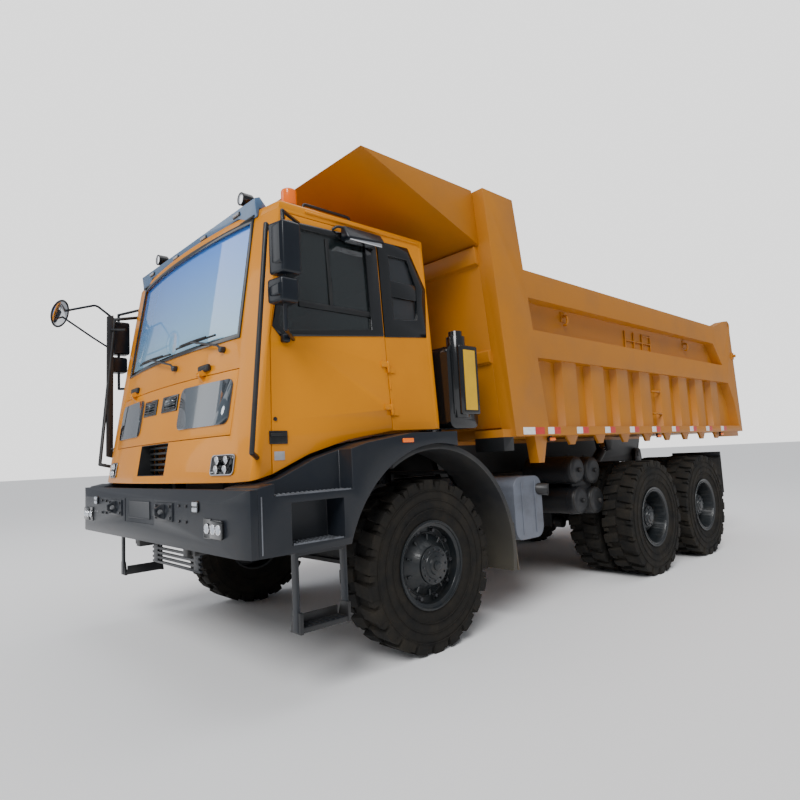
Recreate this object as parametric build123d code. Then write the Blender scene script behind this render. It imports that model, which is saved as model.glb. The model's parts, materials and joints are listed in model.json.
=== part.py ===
from build123d import *
from math import atan2, cos, hypot, radians, sin, sqrt, tan
import os

# Mining dump truck, 6x4, with a tilting cab and a rear-tipping body.
# Millimetres. +X forward, +Y to the driver's left, +Z up, ground at Z = 0.
# The origin is the middle of the footprint on the ground.

os.makedirs("parts", exist_ok=True)

# Driving sizes: running gear
wheelbase = 3735            # front axle to middle axle
tandem_spacing = 1583       # middle axle to rear axle
front_reach = 1830          # front axle to the tip of the tow eye
rear_reach = 7200           # front axle to the tail of the body
tyre_radius = 685
tyre_width = 375
lug_height = 32
lug_count = 22              # in each of a tyre's two rows
lug_length = 104            # along the tread
lug_lean = 16
rim_radius = 330            # bead seat
rim_flange_radius = 356
front_track_half = 1434.5   # middle of the front tyre
rear_outer_half = 1594.5    # middle of the outer twin tyre
twin_spacing = 445          # between the middles of twin tyres
hub_bore = 75
running_clearance = 0.05
seat_clearance = 0.3
moving_clearance = 6
beyond = 6000               # farther out than any surface, for cuts that run right through

front_axle_x = (rear_reach - front_reach) / 2
mid_axle_x = front_axle_x - wheelbase
rear_axle_x = mid_axle_x - tandem_spacing
trunnion_x = (mid_axle_x + rear_axle_x) / 2
tail_x = front_axle_x - rear_reach
nose_x = front_axle_x + front_reach
axle_z = tyre_radius

# Driving sizes: cab. Its lengths are measured forward of cab_x, which lies over the front axle
cab_x = nose_x - 1830
cab_front_x = cab_x + 1675             # middle of the front face at the cab's base
cab_rear_x = cab_x - 250
cab_base_z = 1450
cab_rear_base_z = 1790
cab_floor_z = 1900
cab_roof_z = 3500
cab_half_base = 1520
cab_half_roof = 1420
cab_wall = 50
cab_lean = 9.6                          # degrees the face leans back
cab_bow = 8850                          # radius of the face in plan
cab_corner = 60
cab_taper_z = 1850                      # the sides lean in above this height
firewall_x = cab_x + 1300
cab_room = cab_roof_z - cab_floor_z
belt_z = cab_floor_z + 0.375 * cab_room     # sill of the windscreen
firewall_top_z = cab_floor_z + 0.325 * cab_room
gutter_z = cab_roof_z - 70

# Driving sizes: doors, measured forward of cab_x
door_rear = 300
door_front = 1395
door_top_z = cab_roof_z - 100
door_gap = 7

# Driving sizes: ladder frame
rail_outer_y = 470
rail_width = 90
rail_bottom_z = 1000
rail_top_z = 1300
rail_front_x = cab_x + 1380
rail_rear_x = tail_x + 900
rail_inner_y = rail_outer_y - rail_width
crossmember_length = 150
crossmember_drop = 50

# Driving sizes: tipping body
canopy_rise = 520                       # the body's head stands this much above the cab's roof
body_half = 1750
body_side_y = body_half - 130           # outer face of the side plate
side_plate = 30
rib_y = body_half - 50
body_base_z = 1700
floor_top_z = 1790
body_top_z = cab_roof_z + canopy_rise    # head of the front post
wall_top_z = body_top_z - 680
wall_height = wall_top_z - body_base_z
rail_band_z = (body_base_z + 0.472 * wall_height, body_base_z + 0.638 * wall_height)
top_rail_z = (wall_top_z - 273, wall_top_z)
pivot_x = tail_x + 1150
pivot_z = 1420
pivot_pin_radius = 45

# Driving sizes: hoist
hoist_y = 685
hoist_barrel_radius = 70
hoist_rod_radius = 45
hoist_foot = (front_axle_x - 3300, 620)
hoist_eye = (front_axle_x - 4600, 1560)
hoist_pin_radius = 35


def block(x, y, z):
    # a box from the ranges of its three sides
    size = Box(x[1] - x[0], y[1] - y[0], z[1] - z[0])
    return Pos((x[0] + x[1]) / 2, (y[0] + y[1]) / 2, (z[0] + z[1]) / 2) * size


def slab_xz(points, y):
    # an upright outline, seen from the side, made solid from y[0] to y[1]
    face = Face(Wire.make_polygon([(px, y[0], pz) for px, pz in points]))
    return Solid.extrude(face, Vector(0, y[1] - y[0], 0))


def slab_yz(points, x):
    # an upright outline, seen from the front, made solid from x[0] to x[1]
    face = Face(Wire.make_polygon([(x[0], py, pz) for py, pz in points]))
    return Solid.extrude(face, Vector(x[1] - x[0], 0, 0))


def slab_xy(points, z):
    # a flat outline, seen from above, made solid from z[0] to z[1]
    face = Face(Wire.make_polygon([(px, py, z[0]) for px, py in points]))
    return Solid.extrude(face, Vector(0, 0, z[1] - z[0]))


def round_bar(start, end, radius):
    # a cylinder from one point to another
    axis = Vector(*end) - Vector(*start)
    return Solid.make_cylinder(radius, axis.length, Plane(origin=start, z_dir=axis))


def cross_bar(x, z, radius, y):
    return round_bar((x, y[0], z), (x, y[1], z), radius)


def turned(profile):
    # (radius, y) points turned about the wheel's axis
    face = Face(Wire.make_polygon([(radius, along, 0) for radius, along in profile]))
    return Solid.revolve(face, 360, Axis.Y)


def rounded_xz(x, z, radius, y):
    # a slab whose four corners, seen from the side, are rounded
    corners = [(x[0], y[0], z[0]), (x[1], y[0], z[0]), (x[1], y[0], z[1]), (x[0], y[0], z[1])]
    face = Face(Wire.make_polygon([Vector(*corner) for corner in corners]))
    face = face.fillet_2d(radius, face.vertices())
    return Solid.extrude(face, Vector(0, y[1] - y[0], 0))


def rounded_yz(y, z, radius, x):
    # a slab whose four corners, seen from the front, are rounded
    corners = [(x[0], y[0], z[0]), (x[0], y[1], z[0]), (x[0], y[1], z[1]), (x[0], y[0], z[1])]
    face = Face(Wire.make_polygon([Vector(*corner) for corner in corners]))
    face = face.fillet_2d(radius, face.vertices())
    return Solid.extrude(face, Vector(x[1] - x[0], 0, 0))


def bent_bar(points, radius):
    # a round bar through the points, with ball-shaped bends
    bar = round_bar(points[0], points[1], radius)
    for start, end in zip(points[1:], points[2:]):
        bar = bar + Sphere(radius).moved(Location(start)) + round_bar(start, end, radius)
    return bar


def both_sides(shape):
    return [shape, mirror(shape, about=Plane.XZ)]


def save(name, *shapes):
    solids = []
    for shape in shapes:
        solids.extend(shape.solids())
    export_step(Compound(solids) if len(solids) > 1 else solids[0], f"parts/{name}.step")


# Wheels


def tyre():
    half = tyre_width / 2
    base = tyre_radius - lug_height
    bore = rim_radius + seat_clearance
    carcass = turned([
        (bore, -half + 36), (rim_flange_radius + 6, -half + 36), (rim_radius + 150, -half),
        (base - 40, -half + 12),
        (base, -half + 40), (base, half - 40), (base - 40, half - 12), (rim_radius + 150, half),
        (rim_flange_radius + 6, half - 36), (bore, half - 36),
    ])
    pitch = 360 / lug_count
    long = lug_length / 2
    inner, outer = 10, half - 9
    lugs = []
    for side, start in ((1, 0), (-1, pitch / 2)):
        lug = slab_xy([
            (-long - lug_lean, side * inner), (long - lug_lean, side * inner),
            (long + lug_lean, side * outer), (-long + lug_lean, side * outer)], (base - 85, tyre_radius))
        lug = lug & cross_bar(0, 0, tyre_radius, (-half, half))
        for turn in range(lug_count):
            lugs.append(lug.rotate(Axis.Y, start + pitch * turn))
    return carcass.fuse(*lugs)


def single_rim():
    # outer face towards +Y, the hub bolted through its dished disc
    half = tyre_width / 2
    lip = half - 20
    return turned([
        (hub_bore, -95), (150, -95), (150, -30), (250, 30), (rim_radius - 25, 30),
        (rim_radius - 25, -half + 40), (rim_radius, -half + 35.5), (rim_radius, half - 35.5),
        (rim_flange_radius, half - 35.5), (rim_flange_radius, lip), (rim_radius - 25, lip - 20),
        (rim_radius - 25, 70), (250, 75), (190, 120), (150, 165), (hub_bore, 165),
    ])


def twin_rim():
    # one hub carries both rims; the outer tyre is at y = 0 and the inner at y = -twin_spacing
    half = tyre_width / 2
    inner = -twin_spacing
    return turned([
        (hub_bore, inner - 60), (170, inner - 60), (170, inner + 40), (rim_radius - 25, inner + 60),
        (rim_radius - 25, inner - half + 40), (rim_radius, inner - half + 35.5),
        (rim_radius, inner + half - 36), (rim_radius - 20, inner + half - 20),
        (rim_radius - 20, -half + 20), (rim_radius, -half + 36), (rim_radius, half - 35.5),
        (rim_flange_radius, half - 35.5), (rim_flange_radius, half - 20), (rim_radius - 25, half - 40),
        (rim_radius - 60, -90), (240, -110), (190, -110), (170, 40), (130, 70), (hub_bore, 70),
    ])


wheel_tyre = tyre()
front_rim = single_rim()
rear_rim = twin_rim()

for side, turn in (("left", 0), ("right", 180)):
    sign = 1 if side == "left" else -1
    front = Pos(front_axle_x, sign * front_track_half, axle_z) * Rot(0, 0, turn)
    save(f"front_{side}_tyre", front * wheel_tyre)
    save(f"front_{side}_rim", front * front_rim)
    for place, axle_x in (("middle", mid_axle_x), ("rear", rear_axle_x)):
        outer = Pos(axle_x, sign * rear_outer_half, axle_z) * Rot(0, 0, turn)
        inner = Pos(axle_x, sign * (rear_outer_half - twin_spacing), axle_z) * Rot(0, 0, turn)
        save(f"{place}_{side}_tyres", outer * wheel_tyre, inner * wheel_tyre)
        save(f"{place}_{side}_rims", outer * rear_rim)

# Front axle, knuckles and tie rod

kingpin_y = 1120
kingpin_radius = 30
kingpin_boss = 70
fork_z = (axle_z - 165, axle_z - 105, axle_z + 105, axle_z + 165)
spindle_radius = hub_bore - running_clearance
beam_z = (axle_z - 95, axle_z + 55)
beam_half = 70
arm_reach = 260             # kingpin to the tie rod, rearwards
tie_rod_radius = 24

beam = block((front_axle_x - beam_half, front_axle_x + beam_half), (-kingpin_y, kingpin_y), beam_z)
for x in ((30, 90), (-90, -30)):
    beam = beam - block((front_axle_x + x[0], front_axle_x + x[1]), (-kingpin_y + 150, kingpin_y - 150),
                        (beam_z[0] + 35, beam_z[1] - 35))
for side in (1, -1):
    boss = Solid.make_cylinder(
        kingpin_boss, fork_z[2] - fork_z[1] - 12,
        Plane(origin=(front_axle_x, side * kingpin_y, fork_z[1] + 6)))
    eye = Solid.make_cylinder(
        kingpin_radius + running_clearance, 400,
        Plane(origin=(front_axle_x, side * kingpin_y, axle_z - 200)))
    beam = (beam + boss) - eye
save("front_axle", beam)

spindle_root = kingpin_y + 85
left_knuckle = cross_bar(front_axle_x, axle_z, spindle_radius,
    (spindle_root - 5, front_track_half + 150))
left_knuckle = left_knuckle + block(
    (front_axle_x - 85, front_axle_x + 85), (spindle_root - 10, spindle_root + 50),
    (fork_z[0], fork_z[3]))
for low, high in ((fork_z[0], fork_z[1]), (fork_z[2], fork_z[3])):
    left_knuckle = left_knuckle + block(
        (front_axle_x - 75, front_axle_x + 75), (kingpin_y, spindle_root), (low, high))
    left_knuckle = left_knuckle + Solid.make_cylinder(
        75, high - low, Plane(origin=(front_axle_x, kingpin_y, low)))
left_knuckle = left_knuckle + Solid.make_cylinder(
    kingpin_radius, fork_z[3] - fork_z[0], Plane(origin=(front_axle_x, kingpin_y, fork_z[0])))
arm_z = (fork_z[0], fork_z[0] + 40)
left_knuckle = left_knuckle + slab_xy([
    (front_axle_x - 40, kingpin_y + 70), (front_axle_x - 40, kingpin_y - 60),
    (front_axle_x - arm_reach - 40, kingpin_y - 80),
    (front_axle_x - arm_reach - 40, kingpin_y - 10)], arm_z)
save("left_knuckle", left_knuckle)
save("right_knuckle", mirror(left_knuckle, about=Plane.XZ))

tie_rod_eye = 56             # height of the rod's end
tie_rod_z = arm_z[1] + seat_clearance + tie_rod_eye / 2
tie_rod = cross_bar(front_axle_x - arm_reach, tie_rod_z, tie_rod_radius,
    (-kingpin_y + 10, kingpin_y - 10))
for side in (1, -1):
    tie_rod = tie_rod + Solid.make_cylinder(
        42, tie_rod_eye,
        Plane(origin=(front_axle_x - arm_reach, side * (kingpin_y - 45), tie_rod_z - tie_rod_eye / 2)))
save("tie_rod", tie_rod)

# Drive axles and their shafts

axle_tube_radius = 105
spring_y = (505, 595)
spring_pad_half = 60
banjo_radius = 270
banjo_half = 150
housing = []
for axle_x in (mid_axle_x, rear_axle_x):
    tube_half = rear_outer_half - twin_spacing - 255
    tube = cross_bar(axle_x, axle_z, axle_tube_radius, (-tube_half, tube_half))
    tube = tube + cross_bar(axle_x, axle_z, spindle_radius,
        (-rear_outer_half - 50, rear_outer_half + 50))
    banjo = turned([(0.01, -banjo_half), (150, -banjo_half), (banjo_radius, -60), (banjo_radius, 60),
                    (150, banjo_half), (0.01, banjo_half)])
    banjo = Pos(axle_x, 0, axle_z) * banjo
    nose_back = -310 if axle_x == mid_axle_x else 200
    nose = round_bar((axle_x + nose_back, 0, axle_z + 60), (axle_x + 400, 0, axle_z + 60), 110)
    pad = block(
        (axle_x - spring_pad_half, axle_x + spring_pad_half), spring_y,
        (axle_z, axle_z + axle_tube_radius + seat_clearance))
    housing.append((tube + banjo + nose).fuse(*both_sides(pad)))
save("drive_axles", *housing)

shaft_radius = 55
gearbox_rear_x = front_axle_x - 1400
gearbox_z = (850, 1250)
shafts = [
    round_bar((gearbox_rear_x - 6, 0, 950), (mid_axle_x + 406, 0, axle_z + 60), shaft_radius),
    round_bar((mid_axle_x - 310 - seat_clearance, 0, axle_z + 60),
              (rear_axle_x + 400 + seat_clearance, 0, axle_z + 60), shaft_radius),
]
save("propeller_shafts", *shafts)

# Springs

spring_seat_z = beam_z[1]


def leaf_pack(middle_x, seat_z, half_lengths, leaf, rise, facing):
    # half_lengths from the longest leaf; facing 1 has the longest on top and its ends up, -1 the reverse
    longest = half_lengths[0]
    depth = leaf * len(half_lengths)

    def bow(along):
        return rise * (along / longest) ** 2

    stepped = []
    for number, half in enumerate(half_lengths):
        stepped.append((half, depth + bow(half) - leaf * number))
        stepped.append((half, depth + bow(half) - leaf * (number + 1)))
    stepped.append((half_lengths[-1] * 0.6, 0))
    right = [(longest / 2, depth + bow(longest / 2))] + stepped
    outline = [(0, depth)] + right + [(-along, height) for along, height in reversed(right)]
    return slab_xz([(middle_x + along, seat_z + facing * height) for along, height in outline], spring_y)


leaf = 16
front_leaves = (760, 640, 520, 400, 280, 180)
front_rise = 90
front_pack = leaf_pack(front_axle_x, spring_seat_z, front_leaves, leaf, front_rise, 1)
shackle_z = spring_seat_z + leaf * len(front_leaves) + front_rise * 0.85
hanger = [
    block((front_axle_x + end - 50, front_axle_x + end + 50), (rail_outer_y, spring_y[1]),
        (shackle_z, rail_top_z - 50))
    for end in (-700, 700)]
rear_seat_z = axle_z + axle_tube_radius
rear_leaves = (tandem_spacing / 2 + 70, 700, 560, 430, 300)
rear_leaf = 26
rear_rise = 40
rear_top_z = rear_seat_z + rear_rise + rear_leaf * len(rear_leaves)
rear_pack = leaf_pack(trunnion_x, rear_top_z, rear_leaves, rear_leaf, rear_rise, -1)
saddle = slab_xz([
    (trunnion_x - 200, rear_top_z - 20), (trunnion_x + 200, rear_top_z - 20),
    (trunnion_x + 110, rear_top_z + 120),
    (trunnion_x + 110, rail_top_z - 40), (trunnion_x - 110, rail_top_z - 40),
    (trunnion_x - 110, rear_top_z + 120)],
    (rail_outer_y, spring_y[1]))
packs = []
for shape in (front_pack + hanger[0] + hanger[1], rear_pack + saddle):
    packs.extend(both_sides(shape))
save("leaf_springs", *packs)

# Ladder frame with the body's pivot lugs and the cab's tilt lugs

frame_rails = [
    block((rail_rear_x, rail_front_x), side_range, (rail_bottom_z, rail_top_z))
    for side_range in ((rail_inner_y, rail_outer_y), (-rail_outer_y, -rail_inner_y))]
crossmember_x = [
    rail_front_x - 75, front_axle_x - 1650, front_axle_x - 2900, trunnion_x, pivot_x + 200,
    rail_rear_x + 75]
crossmembers = [
    block((x - crossmember_length / 2, x + crossmember_length / 2), (-rail_inner_y, rail_inner_y),
          (rail_bottom_z + crossmember_drop, rail_top_z - crossmember_drop))
    for x in crossmember_x]
lug_thickness = 40
pivot_lugs = []
for side in (1, -1):
    for near in (rail_outer_y, rail_inner_y - lug_thickness):
        y = sorted((side * near, side * (near + lug_thickness)))
        pivot_lugs.append(slab_xz([
            (pivot_x - 170, rail_bottom_z + 60), (pivot_x + 220, rail_bottom_z + 60),
            (pivot_x + 90, pivot_z + 60),
            (pivot_x + 40, pivot_z + 90), (pivot_x - 40, pivot_z + 90),
            (pivot_x - 90, pivot_z + 60)], y))
    y = sorted((side * (rail_inner_y - lug_thickness - 10), side * (rail_outer_y + lug_thickness + 10)))
    pivot_lugs.append(cross_bar(pivot_x, pivot_z, pivot_pin_radius, y))

tilt_x = cab_x + 1520
tilt_z = 950
tilt_pin_radius = 25
tilt_y = (560, 640)
tilt_brackets = []
for side in (1, -1):
    y = sorted((side * rail_outer_y, side * (tilt_y[0] - moving_clearance)))
    tilt_brackets.append(slab_xz([
        (tilt_x - 330, rail_bottom_z), (tilt_x - 330, rail_bottom_z + 200),
        (tilt_x - 200, rail_bottom_z + 150),
        (tilt_x + 60, tilt_z + 50), (tilt_x + 60, tilt_z - 60), (tilt_x - 60, tilt_z - 60)], y))
    y = sorted((side * (rail_outer_y + 20), side * (tilt_y[1] + 20)))
    tilt_brackets.append(cross_bar(tilt_x, tilt_z, tilt_pin_radius, y))

hoist_mounts = []
for side in (1, -1):
    y = sorted((side * rail_outer_y, side * (hoist_y + 60)))
    pin = cross_bar(hoist_foot[0], hoist_foot[1], hoist_pin_radius, y)
    y = sorted((side * rail_outer_y, side * (hoist_y - hoist_barrel_radius - moving_clearance)))
    hoist_mounts.append(pin + slab_xz([
        (hoist_foot[0] - 90, rail_bottom_z + 150), (hoist_foot[0] + 90, rail_bottom_z + 150),
        (hoist_foot[0] + 55, hoist_foot[1] - 55), (hoist_foot[0] - 55, hoist_foot[1] - 55)], y))
chassis = frame_rails[0].fuse(frame_rails[1], *crossmembers, *pivot_lugs, *tilt_brackets, *hoist_mounts)
save("chassis_frame", chassis)

# Engine with gearbox, and the radiator

engine = block((cab_x - 600, cab_x + 950), (-320, 320), (850, 1700))
gearbox = block((gearbox_rear_x, cab_x - 600), (-260, 260), gearbox_z)
engine_mounts = [
    block((cab_x + at - 60, cab_x + at + 60), (-rail_inner_y, rail_inner_y),
        (1100, 1220)) for at in (-450, 780)]
save("engine_block", engine.fuse(gearbox, *engine_mounts))
save("radiator", block((cab_x + 1080, cab_x + 1200), (-rail_inner_y, rail_inner_y), (1020, 1780)))

# Cab

everywhere = (-beyond, beyond)
window_height = cab_roof_z - belt_z
tumblehome = (cab_half_base - cab_half_roof) / (cab_roof_z - cab_taper_z)
roof_front_x = cab_front_x - tan(radians(cab_lean)) * (cab_roof_z - cab_base_z)
underside = [
    (cab_x + 300, cab_rear_base_z - 10), (cab_x + 750, cab_rear_base_z - 75),
    (cab_x + 1100, cab_base_z + 170),
    (cab_x + 1400, cab_base_z + 45)]


def cab_form(inset, base_z=None):
    # the cab's outer form, or the same form moved inwards
    half = cab_half_base - inset
    nose = cab_front_x - inset
    bow = cab_bow - inset
    side_x = nose - (bow - sqrt(bow * bow - half * half))
    back = cab_rear_x - 700
    start = cab_base_z - 60
    outline = Wire([
        Line((back, -half, start), (side_x, -half, start)).edge(),
        ThreePointArc((side_x, -half, start), (nose, 0, start), (side_x, half, start)).edge(),
        Line((side_x, half, start), (back, half, start)).edge(),
        Line((back, half, start), (back, -half, start)).edge(),
    ])
    face = Face(outline)
    corners = [v for v in face.vertices() if v.X > back + 1]
    face = face.fillet_2d(max(cab_corner - inset, 30), corners)
    height = cab_roof_z + 200 - start
    lean = tan(radians(cab_lean))
    start_shift = lean * (cab_base_z - start)
    column = Solid.extrude(face, Vector(-lean * height, 0, height)).moved(Location((start_shift, 0, 0)))
    rear = cab_rear_x + inset
    far = cab_front_x + 400
    if base_z is None:
        low = [(rear, cab_rear_base_z)] + underside + [(cab_front_x - 95, cab_base_z), (far, cab_base_z)]
    else:
        low = [(rear, base_z), (far, base_z)]
    side_view = slab_xz(low + [(far, cab_roof_z - inset), (rear, cab_roof_z - inset)], everywhere)
    top = cab_half_roof - inset
    # the tumblehome's planes run on past the sides, which they leave upright below cab_taper_z
    low_z = cab_base_z - 100
    low_half = half + (half - top) * (cab_taper_z - low_z) / (cab_roof_z - inset - cab_taper_z)
    front_view = slab_yz([
        (-low_half, low_z), (low_half, low_z), (top, cab_roof_z - inset), (-top, cab_roof_z - inset)],
        (cab_rear_x - 100, far))
    return column & side_view & front_view


def cab_side_y(z):
    # outer face of the cab's side at a height above cab_taper_z
    return cab_half_base - tumblehome * (z - cab_taper_z)


def door_outline(grow):
    return [
        (cab_x + door_rear - grow, cab_base_z - 100), (cab_x + door_front + grow, cab_base_z - 100),
        (cab_x + door_front + grow, 1750), (cab_x + door_front - 35 + grow, belt_z - 50),
        (cab_x + door_front - 230 + grow, door_top_z + grow),
        (cab_x + door_rear - grow, door_top_z + grow)]


def door_window(inset):
    return [
        (cab_x + 420 + inset, belt_z + 85 + inset), (cab_x + 1250 - inset, belt_z - 10 + inset),
        (cab_x + 1305 - inset, belt_z + 40 + inset), (cab_x + 1130 - inset, door_top_z - 90 - inset),
        (cab_x + 420 + inset, door_top_z - 70 - inset)]


def quarter_window(inset):
    top = door_top_z - 55 - inset
    return [
        (cab_x + 225 - inset, belt_z + 140 + inset), (cab_x - 140 + inset, belt_z + 175 + inset),
        (cab_x - 185 + inset, belt_z + 0.52 * window_height), (cab_x - 30 + inset, top),
        (cab_x + 225 - inset, top)]


def windscreen_outline(inset):
    low, high = belt_z + inset, cab_roof_z - 80 - inset
    return [(-1154 + inset, low), (1154 - inset, low), (1130 - inset, high), (-1130 + inset, high)]


def rear_window(inset):
    low, high = belt_z + 250 + inset, door_top_z - 180 - inset
    return [(-700 + inset, low), (700 - inset, low), (700 - inset, high), (-700 + inset, high)]


glass = 6
glass_set_back = 18
cab_outer = cab_form(0)
cab_inner = cab_form(cab_wall, cab_base_z - 50)
room = cab_inner & block((cab_rear_x, firewall_x), everywhere, (cab_base_z - 100, cab_roof_z))
upper_room = cab_inner & block((cab_rear_x, cab_front_x), everywhere, (firewall_top_z, cab_roof_z))
lid_y = 1200
lid_z = (1780, belt_z - 250)
lid_thickness = 50
lid_gap = 6
bay_x = cab_x + 1360
bay = block((bay_x, cab_front_x + 100), (-lid_y - lid_gap, lid_y + lid_gap),
    (lid_z[0] - lid_gap, lid_z[1] + lid_gap))
door_recess = (cab_form(-5) - cab_form(cab_wall + moving_clearance, cab_base_z - 50)) & (
    slab_xz(door_outline(door_gap), (0, beyond)))
mouth_y = 300
mouth_z = (1510, 1770)
mouth = block((cab_x + 1250, cab_front_x + 100), (-mouth_y, mouth_y), mouth_z)
engine_well = block((cab_rear_x - 10, cab_x + 1330), (-420, 420), (cab_base_z - 100, cab_floor_z - 90))
cab = cab_outer - room - upper_room - bay - mouth - engine_well
for recess in both_sides(door_recess):
    cab = cab - recess
for opening in both_sides(slab_xz(quarter_window(0), (1000, beyond))):
    cab = cab - opening
cab = cab - slab_yz(windscreen_outline(0), (cab_x + 900, cab_front_x + 200))
cab = cab - slab_yz(rear_window(0), (cab_rear_x - 50, cab_rear_x + cab_wall + 50))

hinge_stand_off = 13
hinge_radius = 13
hinge_pin_radius = 7
hinge_leaf = 70
hinge_knuckle = 45
door_hinge_z = (cab_floor_z, cab_floor_z + 350)


def hinge_at(z):
    # a point of the left door's hinge line, which leans in with the cab's side
    return (cab_x + door_rear - door_gap / 2, cab_side_y(z) + hinge_stand_off, z)


pillar_hinges = []
door_hinges = []
for z in door_hinge_z:
    middle = z + hinge_knuckle
    pillar_hinges.append(round_bar(hinge_at(z), hinge_at(middle - 0.5), hinge_radius))
    pillar_hinges.append(round_bar(hinge_at(z), hinge_at(middle + hinge_knuckle), hinge_pin_radius))
    x = hinge_at(z)[0]
    y = hinge_at(middle)[1]
    pillar_hinges.append(block((x - hinge_leaf, x), (y - hinge_stand_off - 12, y), (z, middle - 0.5)))
    plate = round_bar(hinge_at(middle + 0.5), hinge_at(middle + hinge_knuckle), hinge_radius)
    plate = plate + block(
        (x, x + hinge_leaf), (y - hinge_stand_off - 12, y), (middle + 0.5, middle + hinge_knuckle))
    door_hinges.append(plate - round_bar(
        hinge_at(middle - 5), hinge_at(middle + hinge_knuckle + 5),
        hinge_pin_radius + running_clearance))

# the lid's two hinges stand ahead of the seam, so that the bowed lid swings clear of the cowl
lid_hinge_x = cab_front_x - 127
lid_hinge_z = lid_z[1] + 12
lid_hinge_y = 736
lid_pin_radius = 6
lid_eye_radius = 12
cowl_hinges = []
lid_hinges = []
for side in (1, -1):
    y = side * lid_hinge_y
    for offset in (-24, 24):
        cowl_hinges.append(slab_xz([
            (lid_hinge_x - 75, lid_z[1] + 20), (lid_hinge_x - 10, lid_z[1] - 2),
            (lid_hinge_x + 12, lid_z[1]),
            (lid_hinge_x + 12, lid_z[1] + 25), (lid_hinge_x - 75, lid_z[1] + 90)],
            (y + offset - 7, y + offset + 7)))
    cowl_hinges.append(cross_bar(lid_hinge_x, lid_hinge_z, lid_pin_radius, (y - 30, y + 30)))
    eye = cross_bar(lid_hinge_x, lid_hinge_z, lid_eye_radius, (y - 16, y + 16))
    eye = eye + slab_xz([
        (lid_hinge_x - 50, lid_z[1] - 60), (lid_hinge_x - 8, lid_z[1] - 20),
        (lid_hinge_x + 12, lid_hinge_z),
        (lid_hinge_x - 11, lid_hinge_z), (lid_hinge_x - 50, lid_z[1] - 20)], (y - 16, y + 16))
    lid_hinges.append(eye - cross_bar(
        lid_hinge_x, lid_hinge_z, lid_pin_radius + running_clearance, (y - 40, y + 40)))

# the cab splits at the doors' rear edge, at its rear wall and at the gutter
split_x = cab_x + door_rear
cab_x_range = (cab_rear_x - 50, cab_front_x + 100)
shell_z = (cab_base_z - 100, gutter_z)
cab_front = (cab & block((split_x, cab_x_range[1]), everywhere, shell_z)).fuse(*cowl_hinges)
save("cab_body", cab_front)
rear_wall_x = cab_rear_x + cab_wall
quarters = cab & block((rear_wall_x, split_x), everywhere, shell_z)
pillars = [mirror(hinge, about=Plane.XZ) for hinge in pillar_hinges] + pillar_hinges
save("cab_back", quarters.fuse(*pillars))
save("cab_rear_wall", cab & block((cab_x_range[0], rear_wall_x), everywhere, shell_z))
roof_edge = 30
roof = cab & block(cab_x_range, everywhere, (gutter_z, cab_roof_z + 100))
top_edges = roof.faces().sort_by(Axis.Z)[-1].outer_wire().edges()
save("cab_roof", roof.solid().fillet(roof_edge, top_edges))

floor_thickness = 60
floor_half = cab_half_base - cab_wall - moving_clearance
cab_floor = block(
    (cab_rear_x + cab_wall, firewall_x), (-floor_half, floor_half),
    (cab_floor_z - floor_thickness, cab_floor_z))
for side in (1, -1):
    y = sorted((side * tilt_y[0], side * tilt_y[1]))
    arm = slab_xz([
        (tilt_x - 40, tilt_z - 50), (tilt_x + 40, tilt_z - 50), (tilt_x + 45, tilt_z + 40),
        (tilt_x - 300, tilt_z + 140), (tilt_x - 300, cab_floor_z - 30), (tilt_x - 440, cab_floor_z - 30),
        (tilt_x - 440, tilt_z + 50)], y)
    cab_floor = cab_floor + arm
cab_floor = cab_floor - cross_bar(tilt_x, tilt_z, tilt_pin_radius + running_clearance, everywhere)
save("cab_floor", cab_floor)

glass_skin = cab_form(glass_set_back) - cab_form(glass_set_back + glass)
windscreen = glass_skin & slab_yz(windscreen_outline(seat_clearance), (cab_x + 900, cab_front_x))
rear_glass = glass_skin & slab_yz(rear_window(seat_clearance), (cab_rear_x, cab_rear_x + 40))
quarter_glass = glass_skin & slab_xz(quarter_window(seat_clearance), (1000, beyond))
save("cab_glass", windscreen, rear_glass, *both_sides(quarter_glass))

door_skin = cab_outer - cab_form(cab_wall, cab_base_z - 50)
left_door = (door_skin & slab_xz(door_outline(0), (0, beyond))) - slab_xz(door_window(0), (1000, beyond))
left_door = left_door.fuse(*door_hinges)
left_door_glass = glass_skin & slab_xz(door_window(seat_clearance), (1000, beyond))

# a mirror hangs on a bent tube whose two feet stand on the door
mirror_y = (cab_half_base + 115, cab_half_base + 245)
mirror_tube_radius = 14
mirror_tube_x = cab_x + 1370
mirror_tube_y = sum(mirror_y) / 2
upper_foot_z = door_top_z - 45
lower_foot_z = belt_z - 60
mirror_tube = bent_bar([
    (cab_x + 1046, cab_side_y(upper_foot_z) - 20, upper_foot_z),
    (mirror_tube_x, mirror_tube_y, upper_foot_z - 85),
    (mirror_tube_x, mirror_tube_y, lower_foot_z + 10),
    (cab_x + 1160, cab_side_y(lower_foot_z) - 20, lower_foot_z)],
    mirror_tube_radius)
mirror_tube = mirror_tube - cab_form(-seat_clearance)
mirror_table = [
    # X ahead of cab_x, length, low and high edge as shares of window_height above belt_z, corner radius
    (1280, 160, 0.375, 0.675, 35),
    (1340, 120, 0.16, 0.245, 20),
]
housings = []
for x, length, low, high, radius in mirror_table:
    housings.append(rounded_xz(
        (cab_x + x, cab_x + x + length),
        (belt_z + low * window_height, belt_z + high * window_height), radius, mirror_y))
left_mirror = mirror_tube.fuse(*housings)

for side, door, pane, glass_mirror in (
        ("left", left_door, left_door_glass, left_mirror),
        ("right", mirror(left_door, about=Plane.XZ), mirror(left_door_glass, about=Plane.XZ),
         mirror(left_mirror, about=Plane.XZ))):
    save(f"{side}_door", door)
    save(f"{side}_door_glass", pane)
    save(f"{side}_mirror", glass_mirror)

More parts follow.
